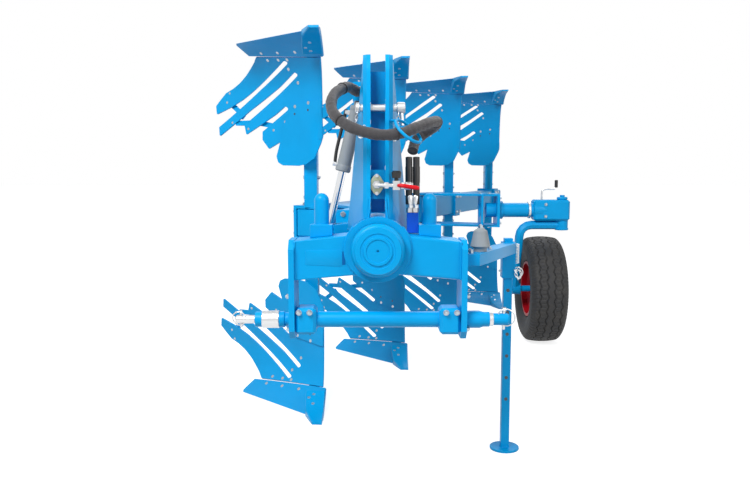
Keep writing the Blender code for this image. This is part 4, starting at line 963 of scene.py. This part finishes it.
class PLOUGH_OT_frame(bpy.types.Operator):
    """Builds bolts of the leg clamps, shear bolts, console bolts and beads on the turning frame"""
    bl_idname = "plough.frame"
    bl_label = "Turning frame"

    def execute(self, context):
        side_axis = (math.cos(BEAM_YAW), math.sin(BEAM_YAW), 0)
        back_axis = tuple(-c for c in side_axis)
        out = BEAM_W / 2 + CLAMP_T + 0.0003
        for number in range(FURROWS):
            parts = []
            for along in (-0.032, 0.032):
                for up in (-0.055, 0.055):
                    parts.append(bolt(beam_place(number, along, out, up), side_axis, 0.012, nut=True))
                    parts.append(bolt(beam_place(number, along, -out, up), back_axis, 0.012))
            tip_x, tip_y = FIRST_TIP[0] + FURROW_WIDTH * number, FIRST_TIP[1] + BODY_PITCH * number
            for level in (-1, 1):
                for drop in (0.125, 0.225):
                    z = AXIS_Z + level * drop
                    for x, axis in ((tip_x - LEG_X[0], (1, 0, 0)), (tip_x - LEG_X[1], (-1, 0, 0))):
                        parts.append(bolt((x, tip_y + sum(LEG_Y) / 2, z), axis, 0.011, nut=axis[0] > 0))
            shown(f"leg_bolts_{number + 1}", *merged(parts), "bolt", "turnover_frame", 30)
        console = []
        for x in (-0.140, -0.05, 0.05, 0.140):
            for z in (-0.088, 0.088):
                console.append(bolt((x, 0.470, AXIS_Z + z), (0, -1, 0), 0.011))
        for along in (0.12, 0.30):
            for across in (-0.042, 0.042):
                console.append(bolt(beam_place(0, along - 0.12, across, 0.0866), (0, 0, 1), 0.011, nut=True))
                console.append(bolt(beam_place(0, along - 0.12, across, -0.0866), (0, 0, -1), 0.011))
        shown("console_bolts", *merged(console), "bolt", "turnover_frame", 30)
        rings = [turned([(0, 0.0606), (0.004, 0.069), (0.016, 0.069), (0.020, 0.0606)], (0, 0.172, AXIS_Z),
                        (0, 1, 0), 48),
                 turned([(0, 0.0606), (0.003, 0.066), (0.006, 0.066), (0.009, 0.0606)], (0, 0.205, AXIS_Z),
                        (0, 1, 0), 48)]
        a = np.linspace(0, 2 * math.pi, 60)
        seam = np.stack([0.0615 * np.cos(a), np.full_like(a, 0.468), AXIS_Z + 0.0615 * np.sin(a)], axis=1)
        shown("turnover_shaft_rings", *merged([*rings, bead(seam, 0.0045)]), "enamel", "turnover_frame", 50)
        wheel_bolts = []
        for y in (SWING_Y - 0.062, SWING_Y + 0.062):
            for up in (-0.080, 0.080):
                wheel_bolts.append(bolt((CONSOLE_X, y, AXIS_Z + up), (1, 0, 0), 0.010, nut=True))
        for up, way in ((0.105, 1), (-0.105, -1)):
            for x in (0.66, 0.72):
                wheel_bolts.append(bolt((x, SWING_Y - 0.020, AXIS_Z + up), (0, 0, way), 0.010))
        shown("wheel_bracket_bolts", *merged(wheel_bolts), "bolt", "turnover_frame", 30)
        return {"FINISHED"}


# ---------------------------------------------------------------- stand
class PLOUGH_OT_stand(bpy.types.Operator):
    """Builds the parking leg's ring pin and chain, the spring, dark discs of painted shade in its holes and the
    bracket's bolts
    """
    bl_idname = "plough.stand"
    bl_label = "Parking leg"

    def execute(self, context):
        pin = [turned(chamfered(0.075, 0.006, 0.001), (STAND_X - 0.036, STAND_Y, 0.727), (1, 0, 0), 16),
               ring_link((STAND_X + 0.040, STAND_Y - 0.004, 0.722), (0.2, 1, 0), 0.020, 0.0022),
               chain([(STAND_X + 0.040, STAND_Y - 0.010, 0.742), (STAND_X + 0.050, STAND_Y - 0.020, 0.715),
                      (STAND_X + 0.036, STAND_Y - 0.030, 0.700), (STAND_X + 0.022, STAND_Y - 0.028, 0.735)])]
        shown("stand_ring_pin", *merged(pin), "zinc", "headstock", 40)
        coil = spring((STAND_X + 0.034, STAND_Y - 0.012, 0.760), (STAND_X + 0.034, STAND_Y - 0.012, 0.838),
                      0.0080,
                      0.0016, 13)
        shown("stand_spring", *coil, "zinc", "headstock", 60)
        # painted shade: the leg's holes are dark discs standing in for the shade inside them
        holes = [turned([(0, 0.0070), (0.0004, 0.0070), (0.0004, 0.0062), (-0.002, 0.0060)],
                        (STAND_X, STAND_Y - 0.017, z), (0, -1, 0), 18) for z in np.arange(0.20, 0.66, 0.09)]
        shown("stand_leg_painted_hole_shade", *merged(holes), "dark_steel", "stand", 30)
        near = PLATE_X + PLATE_T
        parts = [bolt((near + 0.024, 0.050, 0.842), (0, 0, 1), 0.010, nut=True),
                 bolt((near + 0.024, 0.080, 0.842), (0, 0, 1), 0.010, nut=True),
                 bolt((near + 0.062, 0.100, 0.926), (0, 0, 1), 0.011, nut=True),
                 bolt((near + 0.110, 0.190, 0.842), (0, 0, 1), 0.009)]
        shown("stand_bracket_bolts", *merged(parts), "bolt", "headstock", 30)
        foot_weld = [(STAND_X + 0.0185 * math.cos(a), STAND_Y + 0.0185 * math.sin(a), GROUND + 0.0115)
                     for a in np.linspace(0, 2 * math.pi, 28)]
        shown("stand_foot_weld", *bead(foot_weld, 0.003), "enamel", "stand", 60)
        return {"FINISHED"}


# ---------------------------------------------------------------- wheel
def tyre_shape():
    """The tyre's section turned round the axle. Round the tread, radius falls by 7 mm in four grooves across it,
    which zigzag with the angle, and in fine cuts that cross the ribs; the shoulders carry short bars."""
    half, top, bead_r = WHEEL_W / 2, WHEEL_D / 2, 0.1835
    steps, across = 320, 96
    angle = np.linspace(0, 2 * math.pi, steps, endpoint=False)
    v = np.linspace(-1, 1, across)
    width_key = np.array([-1.0, -0.93, -0.80, -0.62, -0.50, 0.50, 0.62, 0.80, 0.93, 1.0])
    radius_key = np.array([bead_r, bead_r + 0.006, bead_r + 0.060, top - 0.040, top - 0.012, top - 0.012,
                           top - 0.040, bead_r + 0.060, bead_r + 0.006, bead_r])
    x_key = np.array([-0.080, -0.094, -half * 0.995, -half * 0.985, -half * 0.80, half * 0.80, half * 0.985,
                      half * 0.995, 0.094, 0.080])
    radius = np.interp(v, width_key, radius_key)
    x = np.interp(v, width_key, x_key)
    for _ in range(3):
        radius[1:-1] = (radius[:-2] + 2 * radius[1:-1] + radius[2:]) / 4
        x[1:-1] = (x[:-2] + 2 * x[1:-1] + x[2:]) / 4
    crown = np.clip(1 - (x / (half * 0.80)) ** 2, 0, 1) * 0.010
    tread = np.abs(v) < 0.53
    radius = radius + np.where(tread, crown, 0)
    a, vv = np.meshgrid(angle, v, indexing="ij")
    r = np.broadcast_to(radius, a.shape).copy()
    xx = np.broadcast_to(x, a.shape)
    zig = 0.028 * (2 * np.abs((a * 34 / (2 * math.pi)) % 1 - 0.5) - 0.5)
    on_tread = np.clip((0.56 - np.abs(vv)) / 0.05, 0, 1)
    groove = np.zeros_like(r)
    for centre in (-0.36, -0.12, 0.12, 0.36):
        groove = np.maximum(groove, np.clip(1.4 - np.abs(vv - centre - zig * 2.6) / 0.017, 0, 1))
    cuts = np.clip(1.4 - np.abs(((a * 80 / (2 * math.pi)) % 1) - 0.5 + 0 * vv) / 0.10, 0, 1)
    ribs_cut = cuts * np.where((np.abs(np.abs(vv) - 0.24) < 0.07) | (np.abs(vv) > 0.42), 0.45, 0.0)
    r -= on_tread * 0.0075 * np.maximum(groove, ribs_cut)
    shoulder = np.clip((np.abs(vv) - 0.50) / 0.02, 0, 1) * np.clip((0.64 - np.abs(vv)) / 0.02, 0, 1)
    bars = (((a * 80 / (2 * math.pi)) % 1) > 0.62).astype(float)
    r -= shoulder * bars * 0.0045
    ring_line = np.exp(-((np.abs(vv) - 0.74) / 0.012) ** 2) * 0.0018
    wide = 1 + ring_line / half * 1.0
    points = np.stack([WHEEL_X + np.clip(xx * wide, -half, half), WHEEL_Y + r * np.cos(a),
                       AXLE_Z + r * np.sin(a)], axis=-1)
    inner = np.stack([WHEEL_X + np.broadcast_to(np.array([0.078, -0.078]), (steps, 2)),
                      WHEEL_Y + (bead_r - 0.001) * np.cos(a[:, :2]),
                      AXLE_Z + (bead_r - 0.001) * np.sin(a[:, :2])], axis=-1)
    both = np.concatenate([points, inner], axis=1)
    return both.reshape(-1, 3), grid_faces(steps, across + 2, wrap_rows=True, wrap_columns=True)


def rim_shape():
    """The rim's section turned round the axle: two lips, a drop centre and a coned disc with its hub."""
    half = 0.092
    outer = [(-half, 0.1815), (-half + 0.003, 0.1825), (-half + 0.006, 0.1815), (-half + 0.010, 0.1725),
             (-0.050, 0.1715), (-0.035, 0.158), (0.035, 0.158), (0.050, 0.1715), (half - 0.010, 0.1725),
             (half - 0.006, 0.1815), (half - 0.003, 0.1825), (half, 0.1815), (half, 0.167), (0.054, 0.1650),
             (0.040, 0.1520), (0.014, 0.1510), (0.006, 0.122), (0.022, 0.082), (0.028, 0.055), (0.045, 0.042),
             (0.047, 0.036), (0.047, 0.022), (-0.047, 0.022), (-0.047, 0.036), (-0.045, 0.042),
             (-0.012, 0.042),
             (0.008, 0.080), (-0.006, 0.122), (-0.004, 0.1510), (-0.040, 0.1520), (-0.054, 0.1650),
             (-half, 0.167)]
    profile = np.array(outer)
    steps = 96
    a = np.linspace(0, 2 * math.pi, steps, endpoint=False)
    points = np.stack([WHEEL_X + np.repeat(profile[:, 0][:, None], steps, 1),
                       WHEEL_Y + profile[:, 1][:, None] * np.cos(a),
                       AXLE_Z + profile[:, 1][:, None] * np.sin(a)],
                      axis=-1)
    return points.reshape(-1, 3), grid_faces(len(profile), steps, wrap_rows=True, wrap_columns=True)


class PLOUGH_OT_wheel(bpy.types.Operator):
    """Builds the treaded tyre, the red rim with its nuts, the head's crank handle, pin and collar"""
    bl_idname = "plough.wheel"
    bl_label = "Depth wheel"

    def execute(self, context):
        tyre = shown("treaded_tyre", *tyre_shape(), "tyre", "wheel", 28, slot="tyre_rubber")
        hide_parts("wheel_tyre")
        rim = shown("steel_rim", *rim_shape(), "red", "wheel", 32, slot="red_paint")
        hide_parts("wheel_rim")
        axle_z = AXLE_Z
        nuts = []
        for k in range(5):
            a = 2 * math.pi * k / 5 + 0.3
            y, z = WHEEL_Y + 0.070 * math.cos(a), axle_z + 0.070 * math.sin(a)
            nuts.append(bolt((WHEEL_X + 0.0235, y, z), (1, 0, 0), 0.0095, nut=True))
            nuts.append(bolt((WHEEL_X + 0.0105, y, z), (-1, 0, 0), 0.0085))
        valve = turned([(0, 0.0045), (0.030, 0.0045), (0.032, 0.0055), (0.042, 0.0055), (0.044, 0.003)],
                       (WHEEL_X + 0.010, WHEEL_Y, axle_z + 0.1475), (1, 0, 0), 12)
        shown("wheel_nuts", *merged(nuts), "bolt", "wheel", 30)
        shown("tyre_valve", *valve, "plastic", "wheel", 30)
        cap = turned([(0.0455, 0.036), (0.050, 0.037), (0.062, 0.034), (0.066, 0.026)],
                     (WHEEL_X, WHEEL_Y, axle_z),
                     (1, 0, 0), 36)
        shown("wheel_hub_cap", *cap, "red", "wheel", 30)
        top = AXIS_Z + 0.066
        swivel = [turned([(0, 0.030), (0.004, 0.034), (0.014, 0.034), (0.018, 0.028)],
                         (SWIVEL_X, SWING_Y, top),
                         (0, 0, 1), 32)]
        shown("head_bearing_ring", *merged(swivel), "enamel", "wheel_head", 30)
        cone = turned([(0, 0.036), (0.06, 0.052), (0.12, 0.060), (0.16, 0.060)],
                      (1.0 + 0.165, SWING_Y, AXIS_Z),
                      (-1, 0, 0), 48)
        collar = turned([(0, 0.0475), (0.002, 0.054), (0.014, 0.054), (0.016, 0.0475)],
                        (0.985, SWING_Y, AXIS_Z),
                        (-1, 0, 0), 48)
        shown("head_cone", *cone, "enamel", "wheel_head", 35)
        shown("carrier_collar", *collar, "zinc", "wheel_head", 30)
        y = SWING_Y - 0.020
        handle = tube(curve_through([(1.055, y, top - 0.012), (1.055, y, top + 0.040),
                                     (1.060, y, top + 0.062),
                                     (1.085, y, top + 0.070), (1.130, y, top + 0.070),
                                     (1.145, y, top + 0.085)], 44),
                      0.0065, 12)[:2]
        shown("depth_crank", *handle, "zinc", "wheel_head", 50)
        grip = turned([(0, 0.009), (0.003, 0.0105), (0.045, 0.0105), (0.048, 0.008)], (1.145, y, top + 0.078),
                      (0, 0, 1), 20)
        shown("depth_crank_grip", *grip, "plastic", "wheel_head", 35)
        screws = [bolt((1.075, SWING_Y - 0.055, AXIS_Z + up), (0, -1, 0), 0.010, nut=True) for up in (-0.038,
                                                                                                      0.038)]
        screws += [bolt((SWIVEL_X + 0.040, SWING_Y, AXIS_Z + up), (1, 0, 0), 0.010) for up in (-0.030, 0.030)]
        shown("head_bolts", *merged(screws), "bolt", "wheel_head", 30)
        low = AXIS_Z - 0.066 - 0.0606
        arm = [turned([(0, 0.0405), (0.004, 0.044), (0.012, 0.044), (0.015, 0.040)],
                      (SWIVEL_X, SWING_Y, low - 0.002),
                      (0, 0, 1), 32)]
        shown("arm_boss_ring", *merged(arm), "enamel", "wheel_arm", 30)
        return {"FINISHED"}


# ---------------------------------------------------------------- stage
class PLOUGH_OT_stage(bpy.types.Operator):
    """Sets the camera, the pale floor, the backdrop and soft light"""
    bl_idname = "plough.stage"
    bl_label = "Stage"

    def execute(self, context):
        scene = context.scene
        lens = bpy.data.cameras.new("front_view")
        lens.sensor_width, lens.lens = 36.0, 36.24
        lens.clip_end = 100
        camera = bpy.data.objects.new("front_view", lens)
        scene.collection.objects.link(camera)
        camera.location = ORIGIN + Vector((-0.010, -2.598, 1.15))
        camera.rotation_euler = (math.radians(90 - 6.4), 0, 0)
        scene.camera = camera
        floor_mesh = bpy.data.meshes.new("floor")
        floor_mesh.from_pydata([(-40, -40, 0), (40, -40, 0), (40, 40, 0), (-40, 40, 0)], [], [(0, 1, 2, 3)])
        floor = bpy.data.objects.new("floor", floor_mesh)
        scene.collection.objects.link(floor)
        floor.location.z = -0.0005
        paper = bpy.data.materials.new("white_studio_floor")
        paper.use_nodes = True
        tree = paper.node_tree
        tree.nodes["Principled BSDF"].inputs["Base Color"].default_value = (0.50, 0.50, 0.50, 1)
        tree.nodes["Principled BSDF"].inputs["Roughness"].default_value = 0.9
        white = node(tree, "Emission", {"Color": (1, 1, 1, 1), "Strength": 0.80})
        seen = node(tree, "LightPath")
        two = node(tree, "Math", {"operation": "MAXIMUM"}, i0=seen.outputs["Is Camera Ray"],
                   i1=seen.outputs["Is Glossy Ray"])
        share = node(tree, "Math", {"operation": "MAXIMUM"}, i0=two.outputs[0],
                     i1=seen.outputs["Is Transmission Ray"])
        none = node(tree, "Emission", {"Strength": 0.0})
        glow = node(tree, "MixShader", None, i0=share.outputs[0], i1=none.outputs[0], i2=white.outputs[0])
        total = node(tree, "AddShader", None, i0=tree.nodes["Principled BSDF"].outputs[0], i1=glow.outputs[0])
        tree.links.new(total.outputs[0], tree.nodes["Material Output"].inputs["Surface"])
        floor_mesh.materials.append(paper)
        world = bpy.data.worlds.new("studio")
        scene.world = world
        world.use_nodes = True
        tree = world.node_tree
        dim = tree.nodes["Background"]
        dim.inputs["Color"].default_value = (1, 1, 1, 1)
        dim.inputs["Strength"].default_value = 0.26
        bright = node(tree, "Background", {"Color": (1, 1, 1, 1), "Strength": 1.0})
        seen = node(tree, "LightPath")
        two = node(tree, "Math", {"operation": "MAXIMUM"}, i0=seen.outputs["Is Camera Ray"],
                   i1=seen.outputs["Is Glossy Ray"])
        either = node(tree, "Math", {"operation": "MAXIMUM"}, i0=two.outputs[0],
                      i1=seen.outputs["Is Transmission Ray"])
        mixed = node(tree, "MixShader", None, i0=either.outputs[0], i1=dim.outputs[0], i2=bright.outputs[0])
        tree.links.new(mixed.outputs[0], tree.nodes["World Output"].inputs["Surface"])
        for name, place, size, power in (("key", (-2.2, -3.0, 5.0), 2.4, 360),
                                         ("fill", (4.0, -3.2, 3.4), 3.5, 130),
                                         ("back", (0.5, 5.5, 4.5), 4.0, 120)):
            lamp = bpy.data.lights.new(name, "AREA")
            lamp.size, lamp.energy = size, power
            made = bpy.data.objects.new(name, lamp)
            scene.collection.objects.link(made)
            made.location = ORIGIN + Vector(place)
            aim = ORIGIN + Vector((0.2, 1.2, 0.8)) - made.location
            made.rotation_euler = aim.to_track_quat("-Z", "Y").to_euler()
        scene.view_settings.view_transform = "Standard"
        return {"FINISHED"}


class PLOUGH_PT_panel(bpy.types.Panel):
    """Lists the plough's sizes, colours and pieces"""
    bl_idname = "PLOUGH_PT_panel"
    bl_label = "Reversible plough"
    bl_space_type = "VIEW_3D"
    bl_region_type = "UI"
    bl_category = "Plough"

    def draw(self, context):
        for group in (context.scene.plough_paint, context.scene.plough_sizes):
            for key in group.__annotations__:
                self.layout.prop(group, key)
        for kind in OPERATORS:
            self.layout.operator(kind.bl_idname)


OPERATORS = (PLOUGH_OT_stage, PLOUGH_OT_solids, PLOUGH_OT_bodies, PLOUGH_OT_headstock, PLOUGH_OT_mast,
             PLOUGH_OT_hoses, PLOUGH_OT_frame, PLOUGH_OT_stand, PLOUGH_OT_wheel)
CLASSES = (PloughPaint, PloughSizes, *OPERATORS, PLOUGH_PT_panel)


def register():
    for kind in CLASSES:
        bpy.utils.register_class(kind)
    bpy.types.Scene.plough_paint = bpy.props.PointerProperty(type=PloughPaint)
    bpy.types.Scene.plough_sizes = bpy.props.PointerProperty(type=PloughSizes)


def unregister():
    del bpy.types.Scene.plough_paint, bpy.types.Scene.plough_sizes
    for kind in reversed(CLASSES):
        bpy.utils.unregister_class(kind)


def main():
    register()
    MADE.update(make_materials(bpy.context.scene.plough_paint))
    for kind in OPERATORS:
        group, name = kind.bl_idname.split(".")
        getattr(getattr(bpy.ops, group), name)()


if __name__ == "__main__":
    main()
